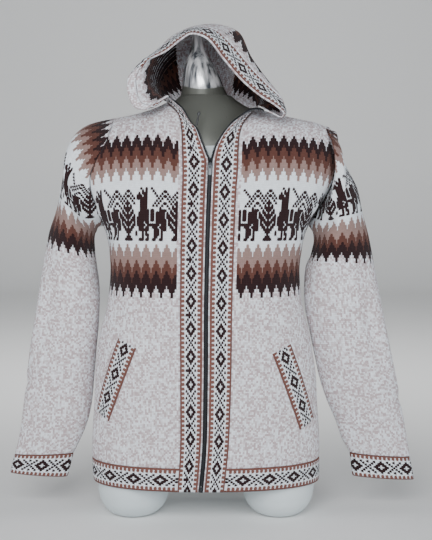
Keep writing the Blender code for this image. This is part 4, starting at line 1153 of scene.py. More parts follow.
def hemPiece(name, node, seams, flip, start):
    heights = np.linspace(cloth["hemBottom"], hemTop, strip["stitches"] + 1)
    lines = []
    for z in heights:
        line = []
        for side, seam, backwards in seams:
            quarter = panels[side, seam]
            count = int(round(quarter.around(heights[0])[1][-1] / edging["row"]))
            full = quarter.around(z)[1][-1] - cloth["seamGap"] / 2
            first = 0.0 if side == "back" else cloth["seamGap"] / 2
            points = quarter.level(np.linspace(first, full, count + 1), z)
            line.append(points[::-1] if backwards else points)
        if len(line) == 2:
            line[0] = line[0][:-1]
        lines.append(np.concatenate(line))
    grid = np.array(lines).transpose(1, 0, 2)
    tones = edgingTones(len(grid) - 1, start, fold=False)
    made = knitPiece(name, grid, tones, reverseTones(tones), flip)
    wornPiece(made, node)


hemPiece("hemLeft", "hem_left", [("front", "left", False)], True, 5)
hemPiece("hemRight", "hem_right", [("front", "right", False)], False, 5)
backSides = [("back", "right", True), ("back", "left", False)]
hemPiece("hemBack", "hem_back", backSides, False, 0)
print("front edgings and hem knitted", flush=True)


sleeve = {
    "stitch": 0.0032,
    "row": 0.0029,
    "underRow": 71,  # row that reaches the underarm
    "underStretch": 1.35,
    "meetFrom": 95,  # rows over which the underarm's count catches up with the outer line's
    "meetOver": 55,
    "capRows": 42,  # rows that follow the armhole's own count
    "angles": 96,
    "chartStart": 4,
    "flat": (0.40, 0.62),
    "areaShare": 0.8,
}


def ringPoints(sign, row, turns):
    outerX, outerZ, innerX, innerZ, halfDepth, bow = row
    outer, inner = np.array([outerX, 0, outerZ]), np.array([innerX, 0, innerZ])
    middle, half = (outer + inner) / 2, (outer - inner) / 2
    along = np.array([half[2], 0, -half[0]]) / np.linalg.norm(half)
    cosine, sine = np.cos(turns)[:, None], np.sin(turns)[:, None]
    points = middle + half * cosine - np.array([0, halfDepth, 0]) * sine
    return (points + along * bow * np.abs(sine) ** 1.5) * (sign, 1, 1)


def splineAt(stack, at):
    # a smooth curve through a stack of rings, at these places down it
    k = np.clip(at.astype(int), 0, len(stack) - 2)
    t = (at - k)[:, None, None]
    a, b = stack[np.maximum(k - 1, 0)], stack[k]
    c, d = stack[k + 1], stack[np.minimum(k + 2, len(stack) - 1)]
    return b + 0.5 * t * (c - a + t * (2 * a - 5 * b + 4 * c - d + t * (3 * (b - c) + d - a)))


def armholeRing(sign, seam, turns):
    points = []
    for turn in turns:
        front = turn <= math.pi
        share = 1 - ((turn if front else 2 * math.pi - turn) / math.pi) ** 1.3
        points.append(panels["front" if front else "back", seam].armholeAt(share))
    outward = np.array([sign * 0.75, 0, 0.65])
    return np.array(points) + outward * cloth["armholeGap"]


# Rows down the sleeve where it meets the armhole, by height.
armholeRows = (
    (0.537, 72.0), (0.556, 66.7), (0.589, 50.4), (0.612, 37.0), (0.632, 26.4),
    (0.652, 15.4), (0.676, 6.6), (0.700, 2.2), (0.727, 0.4), (0.740, 0.0),
)


def rowNumbers(rings, turns):
    # which row of the knitting each place on the rings is, so the bands cross the sleeve
    ways = np.array([lengths(rings[:, k]) for k in range(len(turns))]).T / sleeve["row"]
    outer, inner = ways[:, :1], ways[:, len(turns) // 2][:, None]
    under = sleeve["underRow"] + inner * sleeve["underStretch"]
    meet = np.clip((outer - sleeve["meetFrom"]) / sleeve["meetOver"], 0, 1)
    under = under * (1 - meet) + (outer + 2.0 * (outer[-1] - outer) / outer[-1]) * meet
    share = ((1 - np.cos(turns)) / 2)[None, :]
    numbers = outer * (1 - share) + under * share
    heights, rows = zip(*armholeRows)
    ahead = np.interp(rings[0, :, 2], heights, rows)[None, :] + ways
    near = 1 - np.clip(outer / sleeve["capRows"], 0, 1)
    near = near * near * (3 - 2 * near)
    numbers = numbers * (1 - near) + ahead * near
    numbers[0, 0] = 0
    return np.maximum.accumulate(numbers, axis=0)


# Folds as (way round from the outer line, way down) ends, a width and a height.
sleeveFolds = (
    ((-0.060, 0.30), (-0.035, 0.52), 0.013, -0.0050),
    ((-0.030, 0.28), (-0.012, 0.56), 0.014, 0.0036),
    ((0.015, 0.32), (0.010, 0.58), 0.016, -0.0034),
    ((0.050, 0.26), (0.030, 0.54), 0.015, 0.0040),
    ((-0.155, 0.19), (-0.080, 0.24), 0.010, -0.0050),
    ((-0.150, 0.215), (-0.070, 0.275), 0.011, 0.0045),
    ((-0.150, 0.245), (-0.075, 0.31), 0.010, -0.0040),
    ((0.150, 0.20), (0.080, 0.25), 0.011, -0.0045),
    ((0.150, 0.23), (0.075, 0.29), 0.012, 0.0040),
    ((-0.085, 0.50), (0.000, 0.545), 0.012, 0.0040),
    ((-0.070, 0.53), (0.050, 0.575), 0.010, -0.0036),
    ((0.080, 0.48), (0.010, 0.555), 0.013, 0.0036),
    ((0.090, 0.38), (0.060, 0.50), 0.015, -0.0034),
    ((-0.110, 0.36), (-0.080, 0.46), 0.013, 0.0034),
)


def rowCurves(face, numbers, lastRow):
    # each row's curve over half a sleeve, from the outer line to the armhole or the underarm
    samples = np.arange(len(face), dtype=float)
    rows = bandWay(np.arange(lastRow + 1)) / sleeve["row"]
    places = np.zeros((lastRow + 1, face.shape[1], 3))
    for k in range(face.shape[1]):
        at = np.interp(rows, numbers[:, k], samples)
        at[-1] = samples[-1]
        for axis in range(3):
            places[:, k, axis] = np.interp(at, samples, face[:, k, axis])
    curves = []
    for row, line in zip(rows, places):
        if row < numbers[0, -1]:
            tip = [np.interp(row, numbers[0], face[0, :, axis]) for axis in range(3)]
            line = np.vstack([line[numbers[0] < row], tip])
        curves.append(line)
    return curves


def sleevePiece(sign, seam, table):
    turns = np.linspace(0, 2 * math.pi, sleeve["angles"] + 1)
    rings = np.array([armholeRing(sign, seam, turns)] + [ringPoints(sign, row, turns) for row in table])
    samples = np.linspace(0, len(rings) - 1, 260)
    surface = splineAt(rings, samples)
    numbers = splineAt(rowNumbers(rings, turns)[:, :, None], samples)[:, :, 0]
    numbers = np.maximum.accumulate(numbers + np.arange(len(samples))[:, None] * 1e-5, axis=0)
    half = sleeve["angles"] // 2
    lastRow = int(np.searchsorted(bandWay(np.arange(400)), numbers[-1, 0] * sleeve["row"]))
    halves = []
    for pick in (slice(0, half + 1), slice(None, half - 1, -1)):
        curves = rowCurves(surface[:, pick], numbers[:, pick], lastRow)
        ends = [lengths(line)[-1] for line in curves]
        columns = np.arange(int(max(ends) / sleeve["stitch"]) + 2) * sleeve["stitch"]
        halves.append(np.array([
            placesAlong(line, np.minimum(columns, max(end - cloth["seamGap"] / 2, 0)))
            for line, end in zip(curves, ends)
        ]))
    grid = np.concatenate([halves[1][:, :0:-1], halves[0]], axis=1)[::-1]
    middle = halves[1].shape[1] - 1
    rows, columns = grid.shape[0] - 1, grid.shape[1] - 1
    across = (np.arange(columns) - middle)[None, :] * -sign
    down = (lastRow - 1 - np.arange(rows))[:, None]
    tones = bodyTones(across, down - 1, across + sleeve["chartStart"])
    u, v = np.meshgrid(
        (middle - np.arange(columns + 1)) * sleeve["stitch"], bandWay(lastRow - np.arange(rows + 1))
    )
    creases = foldField(u, v, sleeveFolds)
    made = knitPiece("sleeveKnit" + seam.title(), grid, tones, reverseTones(tones), sign > 0, creases)
    wornPiece(made, "sleeve_" + seam)


def cuffPiece(sign, seam, table):
    turns = np.linspace(0, 2 * math.pi, 193)
    rings = np.array([ringPoints(sign, row, turns) for row in table])
    stack = splineAt(rings, np.linspace(0, 2, strip["stitches"] + 1))
    count = int(round(lengths(stack[0])[-1] / edging["row"]))
    gap = cloth["seamGap"] / 2
    lines = [placesAlong(ring, np.linspace(gap, lengths(ring)[-1] - gap, count + 1)) for ring in stack]
    grid = np.roll(np.array(lines)[:, :-1], count // 2, axis=1)
    grid = np.concatenate([grid, grid[:, :1]], axis=1).transpose(1, 0, 2)
    tones = edgingTones(len(grid) - 1, 3, fold=False)
    made = knitPiece("cuffKnit" + seam.title(), grid, tones, reverseTones(tones), sign > 0)
    wornPiece(made, "cuff_" + seam)


sleevePiece(-1, "right", sleeveRight)
sleevePiece(1, "left", sleeveLeft)
cuffPiece(-1, "right", cuffRight)
cuffPiece(1, "left", cuffLeft)
print("sleeves and cuffs knitted", flush=True)


hood = {
    "stitch": 0.0041,
    "row": 0.0029,
    "gussetMiddle": 0.50,
    "gussetFront": 0.045,  # half width of the plain middle, as a share of the hood
    "gussetBack": 0.20,
    "edgingEnd": 1.55,  # rib at which the edging ends
    "seamLift": 0.0012,
    "edgingFlat": (0.036, 0.60),
    "flat": (0.62, 0.24),
    "area": 0.080,
}
hoodStarts = (
    (5, dark), (12, brown), (18, tan), (26, white), (40, tan), (48, brown), (56, dark), (64, melange),
)


def ribSurface(ribs, rowAt, columnAt):
    ribs = np.array(ribs)
    along = np.linspace(0, 1, ribs.shape[1])
    across = np.arange(ribs.shape[0], dtype=float)
    grid = np.zeros((len(rowAt), len(columnAt), 3))
    for axis in range(3):
        stretched = np.array([smoothBetween(columnAt, along, rib[:, axis]) for rib in ribs])
        for j in range(len(columnAt)):
            grid[:, j, axis] = smoothBetween(rowAt, across, stretched[:, j])
    return grid


def backNeckLine(count):
    points = []
    for sign, seam in ((-1, "right"), (1, "left")):
        quarter = panels["back", seam]
        line = []
        for along in np.linspace(0, 0.14, 140):
            x = abs(quarter.high(along, float(quarter.rise(along)))[0])
            for _ in range(3):
                z = float(neckHeight(sign, min(x, neckPoints[seam])))
                point = quarter.high(along, quarter.climbed(along, z))
                x = abs(point[0])
            if x <= neckPoints[seam]:
                line.append(point)
        points += line[:0:-1] if sign < 0 else line
    points = np.array(points)
    return placesAlong(points, np.linspace(0, lengths(points)[-1], count)) + (0, 0, hood["seamLift"])


def hoodEdgingPiece(ribs, fine, way):
    # the rows run along the hood's front edge
    count = int(round(way[-1] / edging["row"]))
    along = np.interp(np.linspace(0, way[-1], count + 1), way, fine)
    grid = ribSurface(ribs, edgingShares() * (hood["edgingEnd"] - 0.01), along).transpose(1, 0, 2)
    tones = edgingTones(count, 2)
    made = knitPiece("hoodEdging", grid, tones, np.full(tones.shape, melange), True)
    wornPiece(made, "hood_band")


def hoodKnitPiece(ribs, fine, way):
    count = int(round(way[-1] / hood["stitch"]))
    along = np.interp(np.linspace(0, way[-1], count + 1), way, fine)
    rowAt = np.linspace(hood["edgingEnd"] + 0.01, len(ribs) - 1, 200)
    apart = np.linalg.norm(np.diff(ribSurface(ribs, rowAt, np.linspace(0.1, 0.9, 17)), axis=0), axis=2)
    steps = max(2, int(round(apart.sum(axis=0).mean() / hood["row"])))
    spread = np.concatenate([[0], np.cumsum(apart.mean(axis=1))])
    rowAt = np.interp(np.linspace(0, spread[-1], steps + 1), spread, rowAt)
    grid = ribSurface(ribs, rowAt, along)
    rows, columns = grid.shape[0] - 1, grid.shape[1] - 1
    across = np.arange(columns)[None, :]
    deep = np.arange(rows)[:, None]
    tones = zigzagTones(hoodStarts, deep, across)
    gusset = hood["gussetFront"] + (hood["gussetBack"] - hood["gussetFront"]) * (deep / rows)
    place = (along[:-1] + along[1:])[None, :] / 2
    tones = np.where(np.abs(place - hood["gussetMiddle"]) < gusset, melange, tones)
    # inside, the pale bands are painted dark with a pale row here and there, as painted shade in the hood
    insidePaintedShade = np.where((tones == white) | (tones == tan), np.where(deep % 4 == 0, tones, dark), tones)
    made = knitPiece("hoodKnit", grid[::-1], tones[::-1], insidePaintedShade[::-1], True)
    wornPiece(made, "hood")


ribs = (*hoodRibs, tuple(map(tuple, backNeckLine(len(hoodRibs[0])))))
fine = np.linspace(0, 1, 400)
hoodWay = lengths(ribSurface(ribs, np.array([hood["edgingEnd"]]), fine)[0])
hoodEdgingPiece(ribs, fine, hoodWay)
hoodKnitPiece(ribs, fine, hoodWay)
print("hood knitted", flush=True)


# Each pocket's edging from its top's way out and height to its foot's.
pocket = {
    "right": (0.1400, 0.3300, 0.1870, 0.1950),
    "left": (0.1355, 0.3200, 0.1835, 0.1800),
    "width": 0.040,
    "row": 0.0040,
    "lift": 0.0008,
    "flat": (0.040, 0.145),
}


def pocketPiece(sign, seam):
    quarter = panels["front", seam]
    topOut, topZ, lowOut, lowZ = pocket[seam]
    ends = []
    for out, z in ((topOut, topZ), (lowOut, lowZ)):
        x, way, _y = quarter.around(z)
        ends.append((float(np.interp(out, x, way)), z))
    (alongTop, zTop), (alongLow, zLow) = ends
    length = math.hypot(alongLow - alongTop, zLow - zTop)
    side = np.array([zTop - zLow, alongLow - alongTop]) / length * pocket["width"] / 2
    rows = []
    for share in np.linspace(1, 0, int(round(length / pocket["row"])) + 1):
        row = []
        for across in np.linspace(-1, 1, strip["stitches"] + 1):
            along = alongTop + (alongLow - alongTop) * share + side[0] * across
            z = zTop + (zLow - zTop) * share + side[1] * across
            row.append(quarter.level(np.array([along]), z)[0])
        rows.append(row)
    grid = np.array(rows)
    across, up = np.gradient(grid, axis=1), np.gradient(grid, axis=0)
    outward = np.cross(across, up) * sign
    outward /= np.linalg.norm(outward, axis=2, keepdims=True)
    tones = edgingTones(len(grid) - 1, 3, fold=False)
    grid = grid + outward * (cloth["thickness"] + pocket["lift"])
    made = knitPiece("pocketEdging" + seam.title(), grid, tones, tones, sign < 0)
    wornPiece(made, "pocket_trim_" + seam)


pocketPiece(1, "left")
pocketPiece(-1, "right")
print("pocket edgings knitted", flush=True)


zipParts = {
    "tapeEdges": (-0.0034, 0.0, 0.0030, 0.0095),  # lines along the tape, in from the edging's edge
    "tapeThickness": 0.0008,
    "tapeUnder": 0.0036,
    "tapeFlat": (0.012, 0.735),
    "toothPitch": 0.0024,
    "toothSize": (0.0032, 0.0015, 0.0015),
    "toothBevel": 0.00035,
    "toothLine": -0.0033,
    "toothOverlap": 0.0009,
    "chainUnder": 0.0022,
    "chainTop": 0.0045,  # below the slider's middle
    "chainFoot": 0.009,  # above the hem's edge
    "openFoot": 0.0075,
    "stopRoom": 0.0045,
    "tapeDark": (18, 19, 22),
    "tapePale": (34, 35, 40),
    "slant": 9000.0,
    "rib": 7000.0,
}
# Colour, roughness, metal and the scale of the wear.
handledFinishes = {
    "zipTeethGloss": ((22, 23, 27), 0.45, 0.0, 900.0),
    "sliderMetal": ((58, 60, 63), 0.38, 0.7, 700.0),
    "pullMetal": ((118, 121, 124), 0.35, 0.8, 700.0),
    "pullerPlastic": ((16, 17, 20), 0.45, 0.0, 600.0),
}


def shellPiece(name, grid, normals, thickness, finish, flip):
    # a thin closed strip whose outer face is the grid
    rows, columns = grid.shape[:2]
    outer = grid.reshape(-1, 3)
    inner = (grid - normals * thickness).reshape(-1, 3)
    count = len(outer)
    quads = []
    for j in range(rows - 1):
        for i in range(columns - 1):
            a = j * columns + i
            quad = [a, a + 1, a + columns + 1, a + columns]
            quads += [quad, [q + count for q in quad[::-1]]]
    last = columns - 1
    border = [(j * columns, (j + 1) * columns) for j in range(rows - 1)]
    border += [((j + 1) * columns + last, j * columns + last) for j in range(rows - 1)]
    border += [(i + 1, i) for i in range(last)]
    border += [((rows - 1) * columns + i, (rows - 1) * columns + i + 1) for i in range(last)]
    quads += [[a, b, b + count, a + count] for a, b in border]
    faces = [quad[::-1] if flip else quad for quad in quads]
    made = newPiece(name, np.concatenate([outer, inner]), faces, (finish,))
    mesh = made.data
    faceOutwards(mesh)
    layer = mesh.uv_layers.new(name="weave")
    flatPlace = np.stack(np.meshgrid(lengths(grid[0]), lengths(grid[:, 0])), -1).reshape(-1, 2)
    flatPlace = np.concatenate([flatPlace, flatPlace])
    corners = np.zeros(len(mesh.loops), int)
    mesh.loops.foreach_get("vertex_index", corners)
    layer.data.foreach_set("uv", flatPlace[corners].ravel())
    return made


def bandNormals(grid, sign):
    found = np.cross(np.gradient(grid, axis=1), np.gradient(grid, axis=0)) * sign
    return found / np.maximum(np.linalg.norm(found, axis=2, keepdims=True), 1e-12)


def acrossBand(grid, distance):
    # the line at this distance in from the zip's edge
    inward = grid[:, 2] - grid[:, 0]
    inward /= np.linalg.norm(inward, axis=1, keepdims=True)
    return grid[:, 0] + inward * distance


def tapeMaterial():
    made, tree, shader = newMaterial("zipTapeWeave", 0.85)
    place = addNode(tree, "ShaderNodeUVMap", uv_map="weave")
    across, along, _flat = separate(tree, place.outputs["UV"])
    slant = maths(tree, "SINE", maths(tree, "MULTIPLY", maths(tree, "ADD", across, along), zipParts["slant"]))
    rib = maths(tree, "SINE", maths(tree, "MULTIPLY", along, zipParts["rib"]))
    weave = maths(tree, "MULTIPLY_ADD", maths(tree, "MULTIPLY", slant, rib), 0.5, 0.5)
    colour = mixColours(tree, "MIX", weave, linear(*zipParts["tapeDark"]), linear(*zipParts["tapePale"]))
    tree.links.new(colour, shader.inputs["Base Color"])
    addBump(tree, shader, weave, 0.4, 0.0003)
    return made


def handlingGroup():
    # small hard parts turn a little uneven in colour and gloss from handling
    group, into, out = newGroup(
        "handlingWear",
        {"Base": "Color", "Gloss": "Float", "Scale": "Float"},
        {"Colour": "Color", "Roughness": "Float", "Height": "Float"},
    )
    noise = addNoise(group, objectPlace(group), into["Scale"], 4.0, 0.6)
    shade = maths(group, "MULTIPLY_ADD", noise, 0.28, 0.72)
    group.links.new(tinted(group, into["Base"], shade), out["Colour"])
    uneven = maths(group, "MULTIPLY_ADD", noise, 0.3, 0.85)
    group.links.new(maths(group, "MULTIPLY", into["Gloss"], uneven), out["Roughness"])
    group.links.new(noise, out["Height"])
    return group


handling = handlingGroup()


def handledMaterial(name, colour, roughness, metallic, scale):
    made, tree, shader = newMaterial(name, roughness, metallic)
    worn = useGroup(tree, handling, Base=(*linear(*colour), 1.0), Gloss=roughness, Scale=scale)
    tree.links.new(worn["Colour"], shader.inputs["Base Color"])
    tree.links.new(worn["Roughness"], shader.inputs["Roughness"])
    addBump(tree, shader, worn["Height"], 0.12, 0.0002)
    return made


zipTapeWeave = tapeMaterial()
finishes = {name: handledMaterial(name, *values) for name, values in handledFinishes.items()}


def oneTooth():
    # a tooth with a rounded head, modelled once
    bpy.ops.mesh.primitive_cube_add(size=1)
    tooth = bpy.context.object
    tooth.scale = zipParts["toothSize"]
    bpy.ops.object.transform_apply(location=False, rotation=False, scale=True)
    bpy.ops.object.mode_set(mode="EDIT")
    bpy.ops.mesh.select_all(action="SELECT")
    bpy.ops.mesh.bevel(offset=zipParts["toothBevel"], segments=1, affect="EDGES")
    bpy.ops.object.mode_set(mode="OBJECT")
    verts = np.array([tuple(v.co) for v in tooth.data.vertices])
    faces = [tuple(p.vertices) for p in tooth.data.polygons]
    bpy.data.objects.remove(tooth, do_unlink=True)
    return verts, faces


def teethPiece(name, lines, node):
    # teeth along lines of (places, inward ways, outward ways, where the first one is)
    verts, faces = oneTooth()
    allVerts, allFaces = [], []
    for places, inwards, outs, offset in lines:
        way = lengths(places)
        for q in np.arange(offset, way[-1], zipParts["toothPitch"]):
            place, inward, out = (
                np.array([np.interp(q, way, values[:, k]) for k in range(3)])
                for values in (places, inwards, outs)
            )
            out /= np.linalg.norm(out)
            inward = inward - out * (inward @ out)
            inward /= np.linalg.norm(inward)
            up = np.cross(out, inward)
            start = len(allVerts) * len(verts)
            allVerts.append(place + verts[:, :1] * inward + verts[:, 1:2] * up + verts[:, 2:] * out)
            allFaces += [tuple(i + start for i in face) for face in faces]
    made = newPiece(name, np.concatenate(allVerts), allFaces, (finishes["zipTeethGloss"],))
    faceOutwards(made.data)
    made.data.set_sharp_from_angle(angle=math.radians(40))
    standFor(made, "zip_teeth", node)


def zipSide(sign, seam):
    # one tape and its open teeth
    grid = bands[seam]
    normals = bandNormals(grid, sign)
    outs = normals[:, 0]
    lines = [acrossBand(grid, distance) - outs * zipParts["tapeUnder"] for distance in zipParts["tapeEdges"]]
    tape = shellPiece(
        "zipTape" + seam.title(), np.array(lines).transpose(1, 0, 2),
        np.repeat(normals[:, :1], len(lines), axis=1), zipParts["tapeThickness"], zipTapeWeave, sign < 0
    )
    standFor(tape, "zip_tape", "zip_tape_" + seam)
    line = acrossBand(grid, zipParts["toothLine"]) - outs * zipParts["chainUnder"]
    opened = grid[:, 0, 2] > cloth["sliderHeight"] + zipParts["openFoot"]
    room = lengths(line[opened][::-1])[::-1]
    kept = np.nonzero(opened)[0][room > zipParts["stopRoom"]]
    inward = grid[:, 2] - grid[:, 0]
    chain = (line[kept], inward[kept], outs[kept], 0.001)
    teethPiece("zipTeeth" + seam.title(), [chain], "zip_teeth_" + seam)


def zipChain():
    # the closed teeth, from the box up to the slider
    rows = min(len(bands["left"]), len(bands["right"]))
    middle = (bands["left"][:rows, 0] + bands["right"][:rows, 0]) / 2
    top = cloth["sliderHeight"] - zipParts["chainTop"]
    closed = (middle[:, 2] < top) & (middle[:, 2] > cloth["hemBottom"] + zipParts["chainFoot"])
    middle = middle[closed] + (0, zipParts["chainUnder"], 0)
    outs = np.tile((0.0, -1.0, 0.0), (len(middle), 1))
    lines = []
    for sign in (1, -1):
        inward = np.tile((float(sign), 0.0, 0.0), (len(middle), 1))
        start = 0.0006 + 0.0006 * sign
        lines.append((middle + (sign * zipParts["toothOverlap"], 0, 0), inward, outs, start))
    teethPiece("zipChain", lines, "zip_chain")


zipSide(1, "left")
zipSide(-1, "right")
zipChain()
hardware = {
    "zip_box": "zipTeethGloss",
    "zip_slider": "sliderMetal",
    "zip_pull": "pullMetal",
    "zip_stop_left": "sliderMetal",
    "zip_stop_right": "sliderMetal",
    "zip_puller": "pullerPlastic",
}
for node, finish in hardware.items():
    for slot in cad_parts[node].material_slots:
        slot.material = finishes[finish]
print("zip set in", flush=True)


# The form stands a little inside the cloth, on two plain stubs.
form = {
    "inset": 0.011,
    "drop": 0.0062,
    "steps": 160,
    "bottom": 0.085,
    "shoulder": 0.72,
    "top": 0.7752,
    "stubX": 0.1355,
    "stubWide": 0.0680,
    "stubDeep": 0.0800,
    "stubTop": 0.12,
    "neckY": 0.004,
    "capeEdge": 0.680,  # height at which the grey cape of the form begins
    "paintedReflectionAbove": 0.786,  # and the painted reflection on its neck
    "pale": ((192, 202, 205), (206, 213, 214)),
    "grey": ((84, 85, 79), (108, 109, 102)),
    "dull": ((84, 85, 79), (106, 107, 100)),
    "polished": ((84, 88, 94), (255, 255, 255)),
}
# Height up a stub and its share of the full width.
stubShape = (
    (0.0, 0.50), (0.003, 0.62), (0.010, 0.76), (0.022, 0.89), (0.040, 0.97), (0.066, 1.0), (0.120, 1.0),
)
# Height, middle, half width and half depth.
neckShape = (
    (0.7760, -0.0030, 0.0440, 0.0450),
    (0.7900, -0.0050, 0.0390, 0.0410),
    (0.8100, -0.0080, 0.0345, 0.0370),
    (0.8280, -0.0110, 0.0290, 0.0320),
    (0.8440, -0.0135, 0.0215, 0.0245),
    (0.8560, -0.0150, 0.0150, 0.0165),
    (0.8680, -0.0155, 0.0112, 0.0120),
    (0.8820, -0.0155, 0.0095, 0.0100),
    (0.8945, -0.0150, 0.0070, 0.0075),
    (0.9010, -0.0147, 0.0030, 0.0030),
)


def loftPiece(name, rings, finish):
    rings = np.array(rings)
    count, steps = rings.shape[:2]
    faces = []
    for j in range(count - 1):
        for i in range(steps):
            k = (i + 1) % steps
            faces.append((j * steps + i, j * steps + k, (j + 1) * steps + k, (j + 1) * steps + i))
    faces.append(tuple(range(steps))[::-1])
    faces.append(tuple((count - 1) * steps + i for i in range(steps)))
    made = newPiece(name, rings.reshape(-1, 3), faces, (finish,))
    faceOutwards(made.data)
    made.data.set_sharp_from_angle(angle=math.radians(45))
    return made


def heightMask(tree, place, middleX, sag, height, sharp):
    # 0 below a line that dips towards the middle, 1 above it
    side = maths(tree, "ADD", place[0], -middleX - float(shift[0]))
    arc = maths(tree, "MULTIPLY", maths(tree, "MULTIPLY", side, side), sag)
    above = maths(tree, "SUBTRACT", maths(tree, "SUBTRACT", place[2], arc), height)
    return maths(tree, "MULTIPLY_ADD", above, sharp, 0.5, clamp=True)


def formColour(tree, amount, name):
    first, second = form[name]
    return mixColours(tree, "MIX", amount, linear(*first), linear(*second))


def plasticMaterial():
    made, tree, shader = newMaterial("formSatinPlastic", 0.36)
    where = objectPlace(tree)
    fine = addNoise(tree, where, 420.0, 2.0, 0.4)
    broad = addNoise(tree, where, 9.0, 2.0, 0.5)
    cape = heightMask(tree, separate(tree, where), 0.001, 3.0, form["capeEdge"], 900.0)
    colour = mixColours(tree, "MIX", cape, formColour(tree, broad, "pale"), formColour(tree, broad, "grey"))
    tree.links.new(colour, shader.inputs["Base Color"])
    rough = maths(tree, "MULTIPLY_ADD", cape, -0.10, maths(tree, "MULTIPLY_ADD", fine, 0.06, 0.36))
    tree.links.new(rough, shader.inputs["Roughness"])
    tree.links.new(maths(tree, "MULTIPLY", cape, 0.35), shader.inputs["Metallic"])
    addBump(tree, shader, fine, 0.03, 0.0002)
    return made


def paintedReflectionMaterial():
    made, tree, shader = newMaterial("neckMetalPaintedReflection", 0.10, 1.0)
    where = objectPlace(tree)
    stretch = addNode(tree, "ShaderNodeMapping", Scale=(1.0, 1.0, 0.03))
    tree.links.new(where, stretch.inputs["Vector"])
    noise = addNoise(tree, stretch.outputs["Vector"], 110.0, 3.0, 0.5)
    # painted reflection: above a line the neck gets bright vertical streaks, a window's reflection painted
    # into its colour; below the line it stays dull grey
    paintedReflectionAbove = heightMask(tree, separate(tree, where), -0.005, 6.0, form["paintedReflectionAbove"], 500.0)
    paintedStreak = maths(tree, "MULTIPLY_ADD", noise, 4.0, -1.4, clamp=True)
    dull, paintedShine = formColour(tree, noise, "dull"), formColour(tree, paintedStreak, "polished")
    tree.links.new(mixColours(tree, "MIX", paintedReflectionAbove, dull, paintedShine), shader.inputs["Base Color"])
    tree.links.new(maths(tree, "MULTIPLY_ADD", paintedReflectionAbove, -0.14, 0.34), shader.inputs["Roughness"])
    tree.links.new(maths(tree, "MULTIPLY_ADD", paintedReflectionAbove, 0.15, 0.4), shader.inputs["Metallic"])
    return made


def torsoRings():
    low = np.linspace(form["bottom"], form["shoulder"], 90)
    rings = []
    for z in np.concatenate([low, np.linspace(form["shoulder"] + 0.0025, form["top"], 26)]):
        tucked = form["inset"] * min(1.0, max(0.12, (0.75 - z) / 0.06))
        outs = {sign: reach(sign, z, tucked, form["drop"]) for sign in (1, -1)}
        turns = 2 * math.pi * (np.arange(form["steps"]) + 0.5) / form["steps"]
        x = np.where(np.sin(turns) > 0, outs[1], outs[-1]) * np.sin(turns)
        front = -depth("front", x, z, form["inset"] * 0.8, form["drop"])
        rear = depth("back", x, z, form["inset"] * 0.8, form["drop"])
        rings.append(np.stack([x, np.where(np.cos(turns) > 0, front, rear), np.full(len(x), z)], 1))
    return rings


def ovalRing(middleX, middleY, wide, deep, z):
    turns = np.linspace(0, 2 * math.pi, 97)[:-1]
    level = np.full(len(turns), z)
    return np.stack([middleX + wide * np.cos(turns), middleY + deep * np.sin(turns), level], 1)


def torsoPiece():
    plastic = plasticMaterial()
    torso = loftPiece("formTorso", torsoRings(), plastic)
    knots, shares = np.array(stubShape).T
    heights = np.concatenate([np.linspace(0, 0.012, 13), np.linspace(0.014, form["stubTop"], 40)])
    for sign in (1, -1):
        rings = []
        for z in heights:
            share = float(smoothBetween(z, knots, shares))
            wide, deep = form["stubWide"] * share, form["stubDeep"] * share
            rings.append(ovalRing(sign * form["stubX"], 0, wide, deep, z))
        stub = loftPiece("stub", rings, plastic)
        union = torso.modifiers.new("union", "BOOLEAN")
        union.operation = "UNION"
        union.object = stub
        bpy.context.view_layer.objects.active = torso
        torso.select_set(True)
        bpy.ops.object.modifier_apply(modifier="union")
        bpy.data.objects.remove(stub, do_unlink=True)
    torso.select_set(False)
    torso.data.shade_smooth()
    torso.data.set_sharp_from_angle(angle=math.radians(40))
    standFor(torso, "form_plastic", "form_torso")


def neckPiece():
    table = np.array(neckShape)
    rings = []
    for z in np.linspace(table[0, 0], table[-1, 0], 70):
        middle, wide, deep = (float(smoothBetween(z, table[:, 0], table[:, k])) for k in (1, 2, 3))
        rings.append(ovalRing(middle, form["neckY"], wide, deep, z))
    neck = loftPiece("formNeck", rings, paintedReflectionMaterial())
    standFor(neck, "neck_metal", "form_neck")


torsoPiece()
neckPiece()
print("form made", flush=True)


view = {"position": (0.0186, -1.95, 0.585), "down": 3.8, "lens": 46.67, "sensor": 24.0}
camera = bpy.data.cameras.new("viewCamera")
camera.lens = view["lens"]
camera.sensor_fit = "VERTICAL"
camera.sensor_height = view["sensor"]
viewer = bpy.data.objects.new("viewCamera", camera)
viewer.location = Vector(view["position"]) + Vector(shift)
viewer.rotation_euler = (math.radians(90 - view["down"]), 0, 0)
bpy.context.collection.objects.link(viewer)
bpy.context.scene.camera = viewer


stage = {"size": 8, "middle": (0, 1.5, 0), "wall": 4, "curve": 0.9, "paper": (0.88, 0.875, 0.86)}
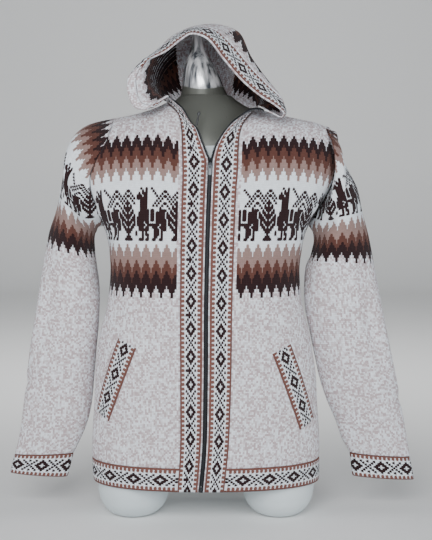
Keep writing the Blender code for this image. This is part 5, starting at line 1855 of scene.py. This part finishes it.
# Place, aim, size, power and colour.
lights = {
    "keyLight": ((-0.45, -2.6, 1.55), (0, 0, 0.45), (1.6, 1.3), 68, (0.95, 0.97, 1.0)),
    "fillLight": ((1.8, -1.9, 0.8), (0, 0, 0.40), (1.4, 1.4), 34, (0.90, 0.95, 1.0)),
    "sideLight": ((-2.0, -1.2, 0.8), (0, 0, 0.40), (1.0, 1.4), 16, (0.95, 0.97, 1.0)),
    "backdropLight": ((0.0, 0.9, 1.9), (0, 3.2, 0.8), (2.4, 1.0), 60, (0.98, 0.99, 1.0)),
}
studioSky = {"low": (0.66, 0.69, 0.73), "high": (0.16, 0.17, 0.18), "rise": 1.5, "strength": 0.75}


def studioStage():
    # a pale paper sweep: a floor that curves up into a wall
    bpy.ops.mesh.primitive_plane_add(size=stage["size"], location=stage["middle"])
    floor = bpy.context.object
    floor.name = "studioFloor"
    bpy.ops.object.mode_set(mode="EDIT")
    bpy.ops.mesh.select_all(action="DESELECT")
    bpy.ops.object.mode_set(mode="OBJECT")
    for e in floor.data.edges:
        a, b = (floor.data.vertices[i].co.y for i in e.vertices)
        e.select = a > 3 and b > 3
    bpy.ops.object.mode_set(mode="EDIT")
    bpy.ops.mesh.extrude_region_move(TRANSFORM_OT_translate={"value": (0, 0, stage["wall"])})
    bpy.ops.mesh.select_all(action="SELECT")
    bpy.ops.mesh.bevel(offset=stage["curve"], segments=12, affect="EDGES")
    bpy.ops.object.mode_set(mode="OBJECT")
    bpy.ops.object.shade_smooth()
    floor.data.materials.append(newMaterial("studioPaper", 0.9, colour=stage["paper"])[0])
    bpy.ops.object.transform_apply(location=True, rotation=True, scale=True)
    bpy.ops.object.select_all(action="DESELECT")


def areaLight(name, place, target, size, power, colour):
    light = bpy.data.lights.new(name, "AREA")
    light.shape = "RECTANGLE"
    light.size, light.size_y = size
    light.energy = power
    light.color = colour
    made = bpy.data.objects.new(name, light)
    made.location = place
    aim = Vector(target) - Vector(place)
    made.rotation_euler = aim.to_track_quat("-Z", "Y").to_euler()
    bpy.context.collection.objects.link(made)


studioStage()
for name, values in lights.items():
    areaLight(name, *values)
world = bpy.data.worlds.new("studioAir")
world.use_nodes = True
air = world.node_tree
direction = addNode(air, "ShaderNodeTexCoord")
height = separate(air, direction.outputs["Generated"])[2]
upwards = maths(air, "MULTIPLY_ADD", height, studioSky["rise"], 0.0, clamp=True)
sky = mixColours(air, "MIX", upwards, studioSky["low"], studioSky["high"])
air.links.new(sky, air.nodes["Background"].inputs[0])
air.nodes["Background"].inputs[1].default_value = studioSky["strength"]
bpy.context.scene.world = world
print("camera, floor and lights placed", flush=True)
